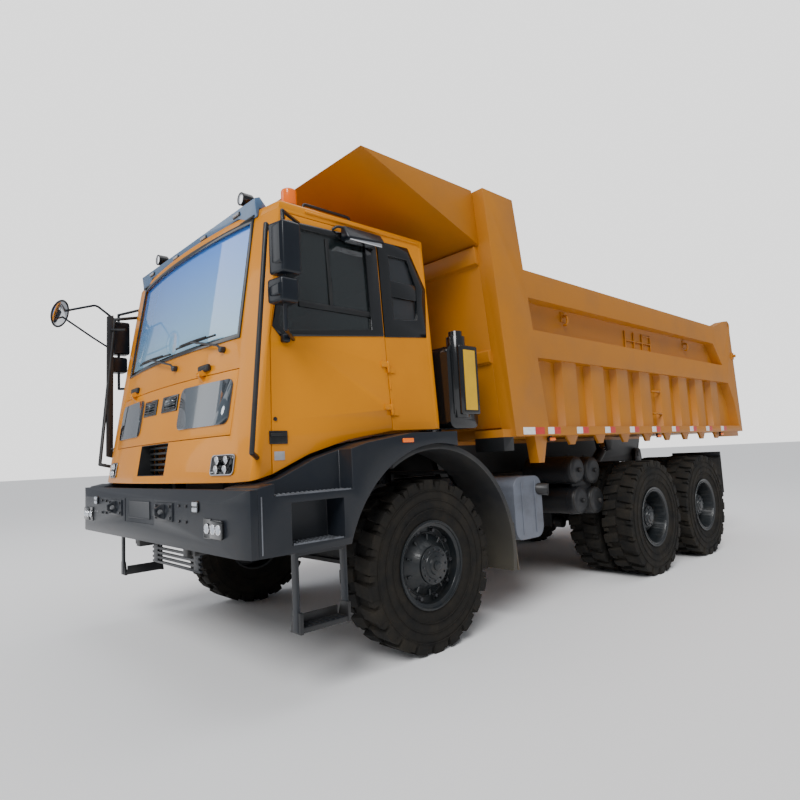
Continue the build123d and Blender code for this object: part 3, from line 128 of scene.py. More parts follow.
# finish: its slot in the record, colour, dust, roughness, and the rest
finishRows = {
    "cabPaint": ("cab_paint", (0.66, 0.232, 0.0005), (0.60, 0.205, 0.0008), 0.34, dict(
        scale=1.2, Specular_IOR_Level=0.2, Coat_Weight=0.22, Coat_Roughness=0.04)),
    "bodyPaint": ("body_paint", *bodyCoat), "sidePaint": ("body_paint", *bodyCoat),
    # floorPaint: the body paint, with painted shade added further down on the floor's underside
    "floorPaint": ("body_paint", *bodyCoat),
    "blackPaint": ("black_paint", (0.008, 0.009, 0.011), (0.022, 0.021, 0.020), 0.44, dict(scale=4.0)),
    "bumperPaint": ("black_paint", (0.0085, 0.0115, 0.017), (0.016, 0.018, 0.021), 0.42, dict(
        scale=2.0, Specular_IOR_Level=0.3, Coat_Weight=0.15, Coat_Roughness=0.15)),
    "blackPlastic": ("black_plastic", (0.009, 0.010, 0.011), (0.022, 0.022, 0.021), 0.5, dict(
        scale=5.0, bump=0.25, grain=420.0)),
    "glossBlack": ("gloss_black", (0.005, 0.006, 0.007), None, 0.14, dict(Coat_Weight=0.4, Coat_Roughness=0.04)),
    "fenderPlastic": ("black_plastic", (0.013, 0.014, 0.016), (0.034, 0.032, 0.028), 0.55, dict(
        amount=(0.42, 0.74), bump=0.3, grain=300.0)),
    # the lid panels are gloss black; their blue-grey base colour is a painted sky reflection
    "panelPaintedSheen": ("gloss_black", (0.065, 0.085, 0.105), None, 0.12, dict(
        Metallic=0.2, Coat_Weight=1.0, Coat_Roughness=0.03)),
    # the visor is gloss black; its blue base colour is a painted sky reflection
    "visorPaintedSkySheen": ("gloss_black", (0.075, 0.150, 0.270), None, 0.24, dict(Coat_Weight=0.4, Coat_Roughness=0.08)),
    "mirrorShell": ("black_plastic", (0.005, 0.008, 0.013), (0.009, 0.013, 0.019), 0.34, dict(
        scale=4.0, Specular_IOR_Level=0.3, Coat_Weight=0.2, Coat_Roughness=0.12)),
    "rubber": ("tyre_rubber", (0.018, 0.018, 0.018), (0.055, 0.048, 0.038), 0.85, dict(
        scale=6.0, bump=0.35, grain=90.0)),
    "treadRubber": ("tyre_rubber", (0.008, 0.008, 0.0078), (0.024, 0.020, 0.0145), 0.88, dict(
        scale=5.0, Specular_IOR_Level=0.25, amount=(0.36, 0.72), bump=0.5, grain=70.0)),
    "flapRubber": ("tyre_rubber", (0.045, 0.040, 0.032), (0.13, 0.108, 0.078), 0.92, dict(
        scale=7.0, amount=(0.3, 0.65), bump=0.5, grain=90.0)),
    "wheelPaint": ("rim_paint", (0.008, 0.0105, 0.0125), (0.026, 0.0245, 0.021), 0.40, dict(
        scale=9.0, Specular_IOR_Level=0.3, amount=(0.5, 0.85), bump=0.2, grain=160.0, Coat_Weight=0.3,
        Coat_Roughness=0.2)),
    "castSteel": ("cast_steel", (0.020, 0.020, 0.021), (0.045, 0.041, 0.035), 0.6, dict(
        scale=8.0, bump=0.3, grain=120.0, Metallic=0.4)),
    "mufflerSteel": ("muffler_steel", (0.155, 0.17, 0.205), (0.105, 0.113, 0.135), 0.5, dict(
        scale=5.0, Metallic=0.4)),
    "chrome": ("rod_chrome", (0.80, 0.80, 0.82), None, 0.12, dict(Metallic=1.0)),
    "boltSteel": ("cast_steel", (0.060, 0.063, 0.070), (0.035, 0.033, 0.030), 0.38, dict(scale=30.0, Metallic=0.7)),
    "steel": ("cast_steel", (0.40, 0.41, 0.43), (0.28, 0.28, 0.29), 0.35, dict(scale=20.0, Metallic=1.0)),
    "seatCloth": ("trim_fabric", (0.05, 0.05, 0.055), (0.075, 0.075, 0.08), 0.9, dict(
        scale=30.0, bump=0.5, grain=600.0)),
    "amberLens": (None, (0.78, 0.13, 0.001), None, 0.16, dict(
        Coat_Weight=0.2, Emission_Color=(1.0, 0.20, 0.0, 1), Emission_Strength=0.22)),
    "redLens": ("red_lens", (0.50, 0.008, 0.008), None, 0.12, dict(Coat_Weight=0.6)),
    "whiteLens": ("lamp_lens", (0.42, 0.46, 0.52), None, 0.08, dict(Coat_Weight=0.6)),
    "reflector": ("lamp_lens", (0.85, 0.86, 0.88), None, 0.16, dict(Metallic=1.0)),
    "mirrorGlass": (None, (0.85, 0.87, 0.9), None, 0.03, dict(Metallic=1.0)),
    "lightGrey": (None, (0.34, 0.35, 0.37), (0.25, 0.25, 0.26), 0.45, dict(scale=18.0)),
    "treadGrey": (None, (0.16, 0.17, 0.19), (0.09, 0.092, 0.10), 0.4, dict(scale=14.0, Metallic=0.5)),
    "yellowPlate": (None, (0.68, 0.40, 0.01), (0.58, 0.33, 0.012), 0.4, dict(scale=8.0)),
    "tapeRed": (None, (0.60, 0.025, 0.015), (0.45, 0.02, 0.012), 0.3, dict(scale=30.0, Coat_Weight=0.5)),
    "tapeWhite": (None, (0.86, 0.86, 0.84), (0.70, 0.69, 0.66), 0.3, dict(scale=30.0, Coat_Weight=0.5)),
    "cabGlass": ("glass", (0.02, 0.025, 0.03), None, 0.03, dict(Alpha=0.6, **paneCoat)),
    "sideGlass": ("glass", (0.012, 0.017, 0.018), None, 0.03, dict(Alpha=0.80, **paneCoat)),
}
finishes = {name: makeFinish(name, *row[1:4], **row[4]) for name, row in finishRows.items()}


def byHeight(material, fromZ, toZ, front=None):
    # how far a point is from one height to another, and what tells whether it lies ahead of a place
    place, parts = addNode(material, "TexCoord"), addNode(material, "SeparateXYZ")
    height = addNode(material, "MapRange", {"From Min": fromZ, "From Max": toZ})
    wire(material, (place, "Object", parts, "Vector"), (parts, "Z", height, "Value"))
    if front is None:
        return height, None
    isAhead = addNode(material, "Math", {1: front}, operation="GREATER_THAN")
    wire(material, (parts, "X", isAhead, 0))
    return height, isAhead


# painted sky reflection on the windscreen: its heights, the place it lies ahead of, its tones, and the panes' own tone
# and opacity
windscreenPaintedSky = {
    "heights": (2.50, 3.42), "aheadOf": 3.78, "tones": ((0.34, 0.58, 0.74, 1), (0.080, 0.300, 0.95, 1)),
    "paneTone": (0.02, 0.025, 0.03, 1), "paneAlpha": 0.62, "skyAlpha": 0.86,
}


def paintSkyReflectionOnWindscreen(material):
    # the windscreen's colour carries a painted reflection of the open sky, pale low down and blue higher up; the panes
    # behind it are dark
    w = windscreenPaintedSky
    shader = material.node_tree.nodes["Principled BSDF"]
    height, isAhead = byHeight(material, *w["heights"], w["aheadOf"])
    sky = addNode(material, "ValToRGB")
    for stop, tone in zip(sky.color_ramp.elements, w["tones"]):
        stop.color = tone
    tint = addNode(material, "Mix", data_type="RGBA")
    tint.inputs[6].default_value = w["paneTone"]
    solid = addNode(material, "MapRange", {"To Min": w["paneAlpha"], "To Max": w["skyAlpha"]})
    wire(material, (height, "Result", sky, "Fac"), (isAhead, "Value", tint, 0), (sky, "Color", tint, 7),
         (tint, 2, shader, "Base Color"), (isAhead, "Value", solid, "Value"), (solid, "Result", shader, "Alpha"))


def blendColourBelow(name, color, low, high, front=None):
    # blends another colour in below a height, only ahead of a place where one is given
    material = finishes[name]
    shader = material.node_tree.nodes["Principled BSDF"]
    before = shader.inputs["Base Color"].links[0].from_node
    share, isAhead = byHeight(material, high, low, front)
    if isAhead:
        both = addNode(material, "Math", operation="MULTIPLY")
        wire(material, (share, 0, both, 0), (isAhead, 0, both, 1))
        share = both
    mix = addNode(material, "Mix", data_type="RGBA")
    mix.inputs[7].default_value = (*color, 1)
    wire(material, (share, 0, mix, 0), (before, "Color", mix, 6), (mix, 2, shader, "Base Color"))


# finish: the other colour, the height where it is full, the height where it ends, what it has to be ahead of
colourBlendsBelow = {
    # fenderPlastic: lighter and browner towards the bottom; sidePaint: near black below 1.70 m, only ahead of x 1.62 m
    "fenderPlastic": ((0.046, 0.041, 0.030), 0.55, 1.15), "sidePaint": ((0.010, 0.011, 0.012), 1.697, 1.700, 1.62),
    # floorPaint: painted shade, near black on the underside of the body floor where it lies in shadow
    "floorPaint": ((0.012, 0.012, 0.012), 1.655, 1.665),
}
paintSkyReflectionOnWindscreen(finishes["cabGlass"])
for name, row in colourBlendsBelow.items():
    blendColourBelow(name, *row)
print("finishes made")

# The frame's nodes


def paint(piece, finish):
    piece.data.materials.clear()
    piece.data.materials.append(finishes[finish])


def settle(piece, name, finish, body):
    # the finished piece keeps its place in its mesh and rides on its body
    pickOnly(piece)
    bpy.ops.object.transform_apply(location=True, rotation=True, scale=True)
    piece.name = piece.data.name = name
    paint(piece, finish)
    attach(piece, body)


def smoothBelow(piece, angle):
    pickOnly(piece)
    bpy.ops.object.shade_smooth_by_angle(angle=math.radians(angle))
    return piece


def softenEdges(piece, width, segments=2):
    bevel = piece.modifiers.new("edges", "BEVEL")
    bevel.width, bevel.segments = width, segments
    bevel.limit_method, bevel.angle_limit = "ANGLE", math.radians(30)
    bevel.harden_normals = False
    applyAll(piece)
    return smoothBelow(piece, 38)


def editAll(piece, step, kind="VERT", **values):
    # one mesh operator on the whole piece
    pickOnly(piece)
    bpy.ops.object.mode_set(mode="EDIT")
    bpy.ops.mesh.select_mode(type=kind)
    bpy.ops.mesh.select_all(action="SELECT")
    step(**values)
    bpy.ops.object.mode_set(mode="OBJECT")
    return piece


def dressNode(nodeName, finish, width):
    # the node's own shape with the broken edges of real plate
    node = frame["nodes"][nodeName]
    body = node["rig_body"]
    piece = node.copy()
    piece.data = node.data.copy()
    for key in [key for key in piece.keys() if key.startswith("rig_")]:
        del piece[key]
    piece.parent = None
    piece.matrix_world = Matrix.Identity(4)
    bpy.context.scene.collection.objects.link(piece)
    pickOnly(piece)
    bpy.ops.object.mode_set(mode="EDIT")
    bpy.ops.mesh.select_all(action="SELECT")
    bpy.ops.mesh.remove_doubles(threshold=0.00005)
    bpy.ops.mesh.dissolve_limited(angle_limit=math.radians(1.0))
    bpy.ops.object.mode_set(mode="OBJECT")
    if width:
        softenEdges(piece, width)
    settle(piece, nodeName + "_dressed", finish, body)
    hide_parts(nodeName)


# node: its finish and the width of its broken edges
nodeFinishes = {
    "chassis_frame": ("blackPaint", 0.004), "front_axle": ("castSteel", 0.006), "drive_axles": ("castSteel", 0.006),
    "propeller_shafts": ("blackPaint", 0.003), "leaf_springs": ("blackPaint", 0.003),
    "engine_block": ("castSteel", 0.008), "radiator": ("blackPaint", 0.004), "bumper": ("bumperPaint", 0.005),
    "bumper_lamps": ("glossBlack", 0.003), "front_fenders": ("fenderPlastic", 0.006),
    "step_skirts": ("bumperPaint", 0.006), "muffler": ("mufflerSteel", 0.01), "air_tanks": ("blackPaint", 0.004),
    "fuel_tank": ("blackPaint", 0.012), "air_cleaner": ("glossBlack", 0.008), "tail_lamps": ("blackPaint", 0.003),
    "cab_body": ("cabPaint", 0.006), "cab_back": ("cabPaint", 0), "cab_rear_wall": ("cabPaint", 0.004),
    "cab_roof": ("cabPaint", 0.008), "cab_floor": ("blackPaint", 0.004), "grille": ("blackPlastic", 0.002),
    "headlamps": ("glossBlack", 0), "visor": ("visorPaintedSkySheen", 0.004), "roof_lamps": ("glossBlack", 0.004),
    "left_mirror": ("mirrorShell", 0.006), "right_mirror": ("mirrorShell", 0.006), "grab_rails": ("blackPaint", 0),
    "dashboard": ("blackPlastic", 0.006), "left_door": ("cabPaint", 0.003), "right_door": ("cabPaint", 0.003),
    "front_lid": ("cabPaint", 0.003), "lid_panels": ("panelPaintedSheen", 0), "left_knuckle": ("castSteel", 0.005),
    "right_knuckle": ("castSteel", 0.005), "tie_rod": ("blackPaint", 0.002), "body_floor": ("floorPaint", 0.004),
    "body_sides": ("sidePaint", 0.004), "body_front_wall": ("bodyPaint", 0.004), "canopy": ("bodyPaint", 0.003),
    "tailgate": ("bodyPaint", 0.004), "hoist_barrels": ("blackPaint", 0.003), "hoist_rods": ("chrome", 0.002),
}
for nodeName, (finish, width) in nodeFinishes.items():
    dressNode(nodeName, finish, width)
for nodeName in frame["nodes"]:
    if nodeName.endswith(("_tyre", "_tyres")):
        dressNode(nodeName, "treadRubber", 0.006)
    elif nodeName.endswith(("_rim", "_rims")):
        dressNode(nodeName, "wheelPaint", 0.004)
paint(frame["nodes"]["cab_glass"], "cabGlass")
for side in ("left", "right"):
    paint(frame["nodes"][side + "_door_glass"], "sideGlass")
print("nodes dressed")

# Modelling helpers

ahead, behind, outward, rightward, upward = (1, 0, 0), (-1, 0, 0), (0, 1, 0), (0, -1, 0), (0, 0, 1)


def bodyOf(nodeName):
    return frame["nodes"][nodeName]["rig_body"]


def shaped(turned=None):
    # the primitive just added, with its turn and size taken into its mesh
    piece = bpy.context.object
    if turned:
        piece.rotation_euler = Vector(turned).to_track_quat("Z", "Y").to_euler()
    bpy.ops.object.transform_apply(location=True, rotation=True, scale=True)
    return piece


def addBox(low, high, edges=0.0, segments=3):
    clearSelection()
    bpy.ops.mesh.primitive_cube_add(size=1, location=[(a + b) / 2 for a, b in zip(low, high)])
    bpy.context.object.scale = [abs(b - a) for a, b in zip(low, high)]
    piece = shaped()
    return softenEdges(piece, edges, segments) if edges else piece


def addRod(start, end, radius, sides=20):
    start, end = Vector(start), Vector(end)
    clearSelection()
    bpy.ops.mesh.primitive_cylinder_add(vertices=sides, radius=radius, depth=(end - start).length,
                                        location=(start + end) / 2)
    return shaped(end - start)


def addRing(center, radius, thickness, axis=outward, parts=48):
    clearSelection()
    bpy.ops.mesh.primitive_torus_add(major_radius=radius, minor_radius=thickness, major_segments=parts,
                                     minor_segments=8, location=center)
    return shaped(axis)


def stepFaces(piece, normal, *steps):
    # one inset after another on the faces that look along the normal: (thickness, depth) each
    axis = Vector(normal).normalized()
    pickOnly(piece)
    bpy.ops.object.mode_set(mode="EDIT")
    bpy.ops.mesh.select_mode(type="FACE")
    bpy.ops.mesh.select_all(action="DESELECT")
    bpy.ops.object.mode_set(mode="OBJECT")
    for face in piece.data.polygons:
        face.select = face.normal.dot(axis) > 0.95
    bpy.ops.object.mode_set(mode="EDIT")
    for thickness, depth in steps:
        bpy.ops.mesh.inset(thickness=thickness, depth=depth)
    bpy.ops.object.mode_set(mode="OBJECT")
    return piece


def moved(piece, matrix):
    piece.data.transform(matrix)
    if matrix.determinant() < 0:
        piece.data.flip_normals()
    piece.data.update()
    return piece


def copyOf(piece, matrix):
    twin = piece.copy()
    twin.data = piece.data.copy()
    bpy.context.scene.collection.objects.link(twin)
    return moved(twin, matrix)


def joined(*pieces):
    clearSelection()
    for piece in pieces:
        piece.select_set(True)
    bpy.context.view_layer.objects.active = pieces[0]
    bpy.ops.object.join()
    return bpy.context.object


def bothSides(piece, name, finish, leftBody, rightBody=None):
    # the left piece and its mirror image on the right
    twin = copyOf(piece, Matrix.Scale(-1, 4, outward))
    settle(piece, "left_" + name, finish, leftBody)
    settle(twin, "right_" + name, finish, rightBody or leftBody)


def aroundAxle(piece, count, offset=0.0):
    # copies of a piece round the wheel's own axle, in its place
    ring = [copyOf(piece, Matrix.Rotation(offset + 2 * math.pi * number / count, 4, "Y")) for number in range(count)]
    bpy.data.objects.remove(piece)
    return joined(*ring)


def outlineSheet(points, filled=True):
    # a flat sheet, or a bare loop, through the points in their order
    clearSelection()
    bpy.ops.mesh.primitive_circle_add(vertices=len(points), radius=1, fill_type="NGON" if filled else "NOTHING")
    piece = bpy.context.object
    for vertex, point in zip(piece.data.vertices, points):
        vertex.co = point
    piece.data.update()
    return piece


def thicken(piece, thickness, edges=0.0):
    editAll(piece, bpy.ops.mesh.normals_make_consistent, inside=False)
    solid = piece.modifiers.new("thickness", "SOLIDIFY")
    solid.thickness, solid.offset, solid.use_even_offset = thickness, 0.0, True
    applyAll(piece)
    return softenEdges(piece, edges) if edges else piece


def frameBetween(outer, inner, thickness, edges=0.0):
    # a flat frame from an outer to an inner outline with as many points
    piece = joined(outlineSheet(outer, filled=False), outlineSheet(inner, filled=False))
    return thicken(editAll(piece, bpy.ops.mesh.bridge_edge_loops, "EDGE"), thickness, edges)


def bentTube(points, radius):
    # a round tube along straight runs with eased bends
    curve = bpy.data.curves.new("tube", "CURVE")
    curve.dimensions, curve.use_fill_caps = "3D", True
    curve.bevel_depth, curve.bevel_resolution, curve.resolution_u = radius, 3, 6
    points = [Vector(point) for point in points]
    eased = [points[0]]
    for before, corner, after in zip(points, points[1:], points[2:]):
        reach = min(radius * 3, (corner - before).length * 0.4, (after - corner).length * 0.4)
        first = corner + (before - corner).normalized() * reach
        last = corner + (after - corner).normalized() * reach
        for share in (0, 0.25, 0.5, 0.75, 1):
            eased.append(first.lerp(corner, share).lerp(corner.lerp(last, share), share))
    eased.append(points[-1])
    spline = curve.splines.new("POLY")
    spline.points.add(len(eased) - 1)
    for point, place in zip(spline.points, eased):
        point.co = (*place, 1)
    piece = bpy.data.objects.new("tube", curve)
    bpy.context.scene.collection.objects.link(piece)
    pickOnly(piece)
    bpy.ops.object.convert(target="MESH")
    return smoothBelow(bpy.context.object, 40)


def bolt(place, axis, radius, height):
    # a hexagon head on a washer
    place, axis = Vector(place), Vector(axis).normalized()
    head = stepFaces(addRod(place, place + axis * height, radius, 6), axis, (radius * 0.22, radius * 0.12))
    washer = stepFaces(addRod(place, place + axis * height * 0.2, radius * 1.35, 16), axis, (radius * 0.15, 0.0))
    return joined(head, washer)


def lensDome(center, axis, radius, bulge):
    # a shallow cap cut from a ball, its rim at the centre
    clearSelection()
    bpy.ops.mesh.primitive_uv_sphere_add(segments=40, ring_count=20, radius=radius)
    bpy.context.object.scale = (1, 1, bulge)
    cap = editAll(shaped(), bpy.ops.mesh.bisect, plane_co=(0, 0, 0), plane_no=(0, 0, 1), clear_inner=True,
                  use_fill=True)
    turn = Vector(axis).to_track_quat("Z", "Y").to_matrix().to_4x4()
    return moved(smoothBelow(cap, 50), Matrix.Translation(center) @ turn)


def surfaceOf(nodeName):
    mesh = frame["nodes"][nodeName].data
    return BVHTree.FromPolygons([vertex.co for vertex in mesh.vertices], [face.vertices for face in mesh.polygons])


def frontX(tree, y, z, otherwise=4.435):
    # how far forward a node reaches at a place, seen from the front
    hit = tree.ray_cast(Vector((6, y, z)), Vector(behind))[0]
    return hit.x if hit else otherwise


def leftY(tree, x, z, otherwise=None):
    hit = tree.ray_cast(Vector((x, 3, z)), Vector(rightward))[0]
    return hit.y if hit else otherwise


# The cab's faces, as in the source of the solids

cabForm = {"lean": math.tan(math.radians(9.6)), "faceX": 4.360, "baseZ": 1.45, "bow": 8.85, "sideY": 1.52,
           "taper": 0.0606, "taperZ": 1.85}


def faceX(y, z):
    bow = cabForm["bow"] - math.sqrt(cabForm["bow"] ** 2 - y ** 2)
    return cabForm["faceX"] - cabForm["lean"] * (z - cabForm["baseZ"]) - bow


def onFace(y, z, proud=0.0):
    return Vector((faceX(y, z) + proud, y, z))


def sideY(z):
    return cabForm["sideY"] - cabForm["taper"] * max(0.0, z - cabForm["taperZ"])


def onSide(x, z, proud=0.0):
    # a point of the cab's left side; x is measured forward of the front axle
    return (axleX + x, sideY(z) + proud, z)


# Wheels: nuts, hub caps, lock rings, shoulder blocks and sidewall rings

wheelDetail = {
    "nuts": 10, "nutCircle": 0.278, "clamp": (0.026, 0.0165, 0.022), "hubBolts": 12,
    "hubSteps": ((0.010, 0.004), (0.034, 0.0), (0.004, 0.010), (0.030, 0.002), (0.004, 0.014)),
    "rearHubSteps": ((0.008, 0.004), (0.026, 0.0), (0.004, 0.012), (0.030, 0.002), (0.004, 0.010)),
    "blocks": 22, "blockLong": 0.046, "shoulder": (0.112, 0.174), "blockUp": (0.600, 0.668),
    "rings": ((0.445, 0.1875), (0.520, 0.1875), (0.598, 0.183)),
    "axles": {"front": (0.0, 1.4345), "middle": (-3.735, 1.5945), "rear": (-5.318, 1.5945)}, "twinStep": 0.445,
}


def frontWheelParts():
    # in the wheel's own frame, its outer face towards +Y
    d = wheelDetail
    along, out, up = d["clamp"]
    nut = bolt((d["nutCircle"], 0.074, 0), outward, 0.017, 0.030)
    clamp = stepFaces(addBox((d["nutCircle"] - along, 0.060, -up), (d["nutCircle"] + along, 0.060 + out, up)),
                      outward, (0.006, 0.004))
    nuts = aroundAxle(joined(nut, clamp), d["nuts"])
    hub = softenEdges(stepFaces(addRod((0, 0.160, 0), (0, 0.182, 0), 0.152, 48), outward, *d["hubSteps"]), 0.002)
    cap = stepFaces(addRod((0, 0.200, 0), (0, 0.222, 0), 0.062 * 0.62, 32), outward, (0.008, 0.006), (0.010, 0.003))
    hubBolts = aroundAxle(bolt((0.128, 0.184, 0), outward, 0.009, 0.011), d["hubBolts"])
    rib = stepFaces(addBox((0.19, 0.100, -0.008), (0.245, 0.112, 0.008)), outward, (0.003, 0.003))
    ribs = aroundAxle(rib, d["nuts"], math.pi / d["nuts"])
    rings = addRing((0, 0.160, 0), 0.343, 0.011), addRing((0, 0.076, 0), 0.252, 0.007)
    return joined(nuts, hubBolts), joined(hub, cap, ribs, *rings)


def rearWheelParts():
    d = wheelDetail
    nuts = aroundAxle(bolt((0.215, -0.110, 0), outward, 0.018, 0.034), d["nuts"])
    hub = softenEdges(stepFaces(addRod((0, 0.060, 0), (0, 0.084, 0), 0.128, 40), outward, *d["rearHubSteps"]), 0.002)
    hubBolts = aroundAxle(bolt((0.106, 0.086, 0), outward, 0.008, 0.010), d["nuts"])
    rings = addRing((0, 0.150, 0), 0.318, 0.013), addRing((0, -0.055, 0), 0.268, 0.010)
    return joined(nuts, hubBolts), joined(hub, *rings)


def tyreParts():
    # the small blocks between the tread's lugs, at both shoulders, and the rings moulded on the sidewalls
    d = wheelDetail
    rows = []
    for side, start in ((1, math.pi / d["blocks"]), (-1, 0.0)):
        low, high = sorted(side * y for y in d["shoulder"])
        block = addBox((-d["blockLong"] / 2, low, d["blockUp"][0]), (d["blockLong"] / 2, high, d["blockUp"][1]))
        rows.append(aroundAxle(stepFaces(block, upward, (0.006, 0.003)), d["blocks"], start))
        rows += [addRing((0, side * y, 0), radius, 0.0045, parts=64) for radius, y in d["rings"]]
    return joined(*rows)


def placeWheels():
    front, rear, tread = frontWheelParts(), rearWheelParts(), tyreParts()
    for place, (x, y) in wheelDetail["axles"].items():
        nuts, hub = front if place == "front" else rear
        for side, sign in (("left", 1), ("right", -1)):
            turn = Matrix.Identity(4) if sign > 0 else Matrix.Rotation(math.pi, 4, "Z")
            at = Matrix.Translation((axleX + x, sign * y, axleZ)) @ turn
            inner = Matrix.Translation((axleX + x, sign * (y - wheelDetail["twinStep"]), axleZ)) @ turn
            name = place + "_" + side
            rides = bodyOf(name + ("_rim" if place == "front" else "_rims"))
            rows = [("_nuts", nuts, "boltSteel", at), ("_hub", hub, "wheelPaint", at),
                    ("_shoulders", tread, "treadRubber", at)]
            if place != "front":
                rows.append(("_inner_shoulders", tread, "treadRubber", inner))
            for part, piece, finish, matrix in rows:
                settle(copyOf(piece, matrix), name + part, finish, rides)
    for piece in (*front, *rear, tread):
        bpy.data.objects.remove(piece)


placeWheels()
print("wheels detailed")

cabRides, lidRides = bodyOf("cab_body"), bodyOf("front_lid")
doorsRide = bodyOf("left_door"), bodyOf("right_door")
mirrorsRide = bodyOf("left_mirror"), bodyOf("right_mirror")

# Trims round the side windows

windowTrim = {
    "door": (((0.307, 2.55), (1.285, 2.45), (1.345, 2.52), (1.255, 2.935), (1.165, 3.345), (0.307, 3.375)),
             ((0.428, 2.593), (1.246, 2.50), (1.294, 2.545), (1.212, 2.925), (1.122, 3.302), (0.428, 3.321))),
    "quarter": (((0.293, 2.545), (-0.19, 2.59), (-0.235, 3.035), (-0.06, 3.385), (0.293, 3.378)),
                ((0.18, 2.71), (-0.10, 2.735), (-0.12, 3.03), (-0.04, 3.27), (0.18, 3.27))),
    "quarterBar": (-0.13, 0.19, 2.91, 3.05), "doorPost": (0.79, 0.82, 2.735, 3.28),
    "doorBar": (0.42, 1.10, 2.70, 2.745), "thickness": 0.032, "sunk": 0.010, "edges": 0.004,
}


def sidePlate(x0, x1, z0, z1, proud, thickness, edges):
    corners = ((x0, z0), (x1, z0), (x1, z1), (x0, z1))
    return thicken(outlineSheet([onSide(x, z, proud) for x, z in corners]), thickness, edges)


def windowTrims():
    t = windowTrim

    def trimOf(key):
        loops = ([onSide(x, z, -t["sunk"]) for x, z in loop] for loop in t[key])
        return frameBetween(*loops, t["thickness"], t["edges"])

    bothSides(trimOf("door"), "door_window_trim", "glossBlack", *doorsRide)
    quarter = joined(trimOf("quarter"), sidePlate(*t["quarterBar"], -0.004, 0.012, 0.003))
    bothSides(quarter, "quarter_window_trim", "glossBlack", cabRides)
    bars = [sidePlate(*t[key], -0.012, 0.010, 0.003) for key in ("doorPost", "doorBar")]
    bothSides(joined(*bars), "door_glass_bars", "blackPlastic", *doorsRide)


windowTrims()

# The windscreen's black border, wipers and their arms

screen = {"z": (2.50, 3.42), "y": (1.154, 1.13), "border": 0.036, "overlap": 0.014, "columns": 12, "rows": 4}


def screenLoop(grow):
    lowZ, highZ = screen["z"][0] - grow, screen["z"][1] + grow
    lowY, highY = (y + grow for y in screen["y"])
    across = [1 - 2 * number / screen["columns"] for number in range(screen["columns"])]
    up = [number / screen["rows"] for number in range(screen["rows"])]
    loop = [(lowY * share, lowZ) for share in across]
    loop += [(-(lowY + (highY - lowY) * share), lowZ + (highZ - lowZ) * share) for share in up]
    loop += [(-highY * share, highZ) for share in across]
    loop += [(lowY + (highY - lowY) * (1 - share), lowZ + (highZ - lowZ) * (1 - share)) for share in up]
    return [onFace(y, z, 0.003) for y, z in loop]


border = frameBetween(screenLoop(screen["overlap"]), screenLoop(-screen["border"] + screen["overlap"]), 0.012, 0.004)
settle(border, "windscreen_border", "glossBlack", cabRides)

wiper = {
    # blade start, blade end, pivot: sideways place and height of each
    "pairs": (((-0.723, 2.556), (0.091, 2.530), (0.229, 2.385)), ((0.205, 2.556), (0.851, 2.560), (0.977, 2.425))),
    "stand": 0.034, "bladeRadius": 0.008, "armRadius": 0.009, "pivotRadius": 0.024,
}


def wiperParts():
    w = wiper
    blades, arms = [], []
    for (startY, startZ), (endY, endZ), (y, z) in w["pairs"]:
        def onBlade(share, up, proud):
            return onFace(startY + (endY - startY) * share, startZ + (endZ - startZ) * share + up, w["stand"] + proud)

        blades.append(bentTube([onBlade(step / 8, 0, -0.016) for step in range(9)], w["bladeRadius"]))
        blades.append(bentTube([onBlade(step / 6, 0.004, -0.004 + 0.012 * math.sin(math.pi * step / 6))
                                for step in range(1, 6)], w["bladeRadius"] * 0.8))
        arms.append(bentTube([onFace(y, z, 0.028), onFace(y - 0.03, z + 0.035, 0.040), onBlade(0.5, 0, 0.012)],
                             w["armRadius"]))
        hub = addRod(onFace(y, z, -0.004), onFace(y, z, 0.036), w["pivotRadius"], 24)
        arms.append(softenEdges(stepFaces(hub, ahead, (0.008, 0.006)), 0.004))
    settle(joined(*blades), "wiper_blades", "blackPlastic", cabRides)
    settle(joined(*arms), "wiper_arms", "boltSteel", cabRides)


wiperParts()

# Handles on the lid's hinge line, the headlamps' lenses, and the marker lamps

frontParts = {
    "handle": (0.752, 2.312), "handleSize": (0.085, 0.027), "handleProud": 0.034,
    "lampColumns": (1.115, 1.220), "lampRows": (1.541, 1.604), "lampRadius": 0.027,
    "bezel": ((1.058, 1.277), (1.530, 1.615)), "bezelRound": 0.03,
    "markerY": (-0.9, -0.3, 0.3, 0.9), "markerZ": 3.530, "markerSize": (0.055, 0.016),
    "beadY": (-1.16, -0.8, -0.4, 0.0, 0.4, 0.8, 1.16), "beadZ": 3.442,
}


def hingeCovers():
    cabTree, handles = surfaceOf("cab_body"), []
    (wide, high), (sideways, z) = frontParts["handleSize"], frontParts["handle"]
    for y in (sideways, -sideways):
        base = frontX(cabTree, y, z, faceX(y, z))
        top = base + frontParts["handleProud"]
        handles.append(joined(
            addBox((base - 0.003, y - wide, z - high), (top, y + wide, z + high), 0.016, 5),
            addBox((top - 0.006, y - wide * 0.6, z - 0.006), (top + 0.003, y + wide * 0.6, z + 0.006), 0.003, 2)))
    settle(joined(*handles), "lid_hinge_covers", "blackPlastic", cabRides)


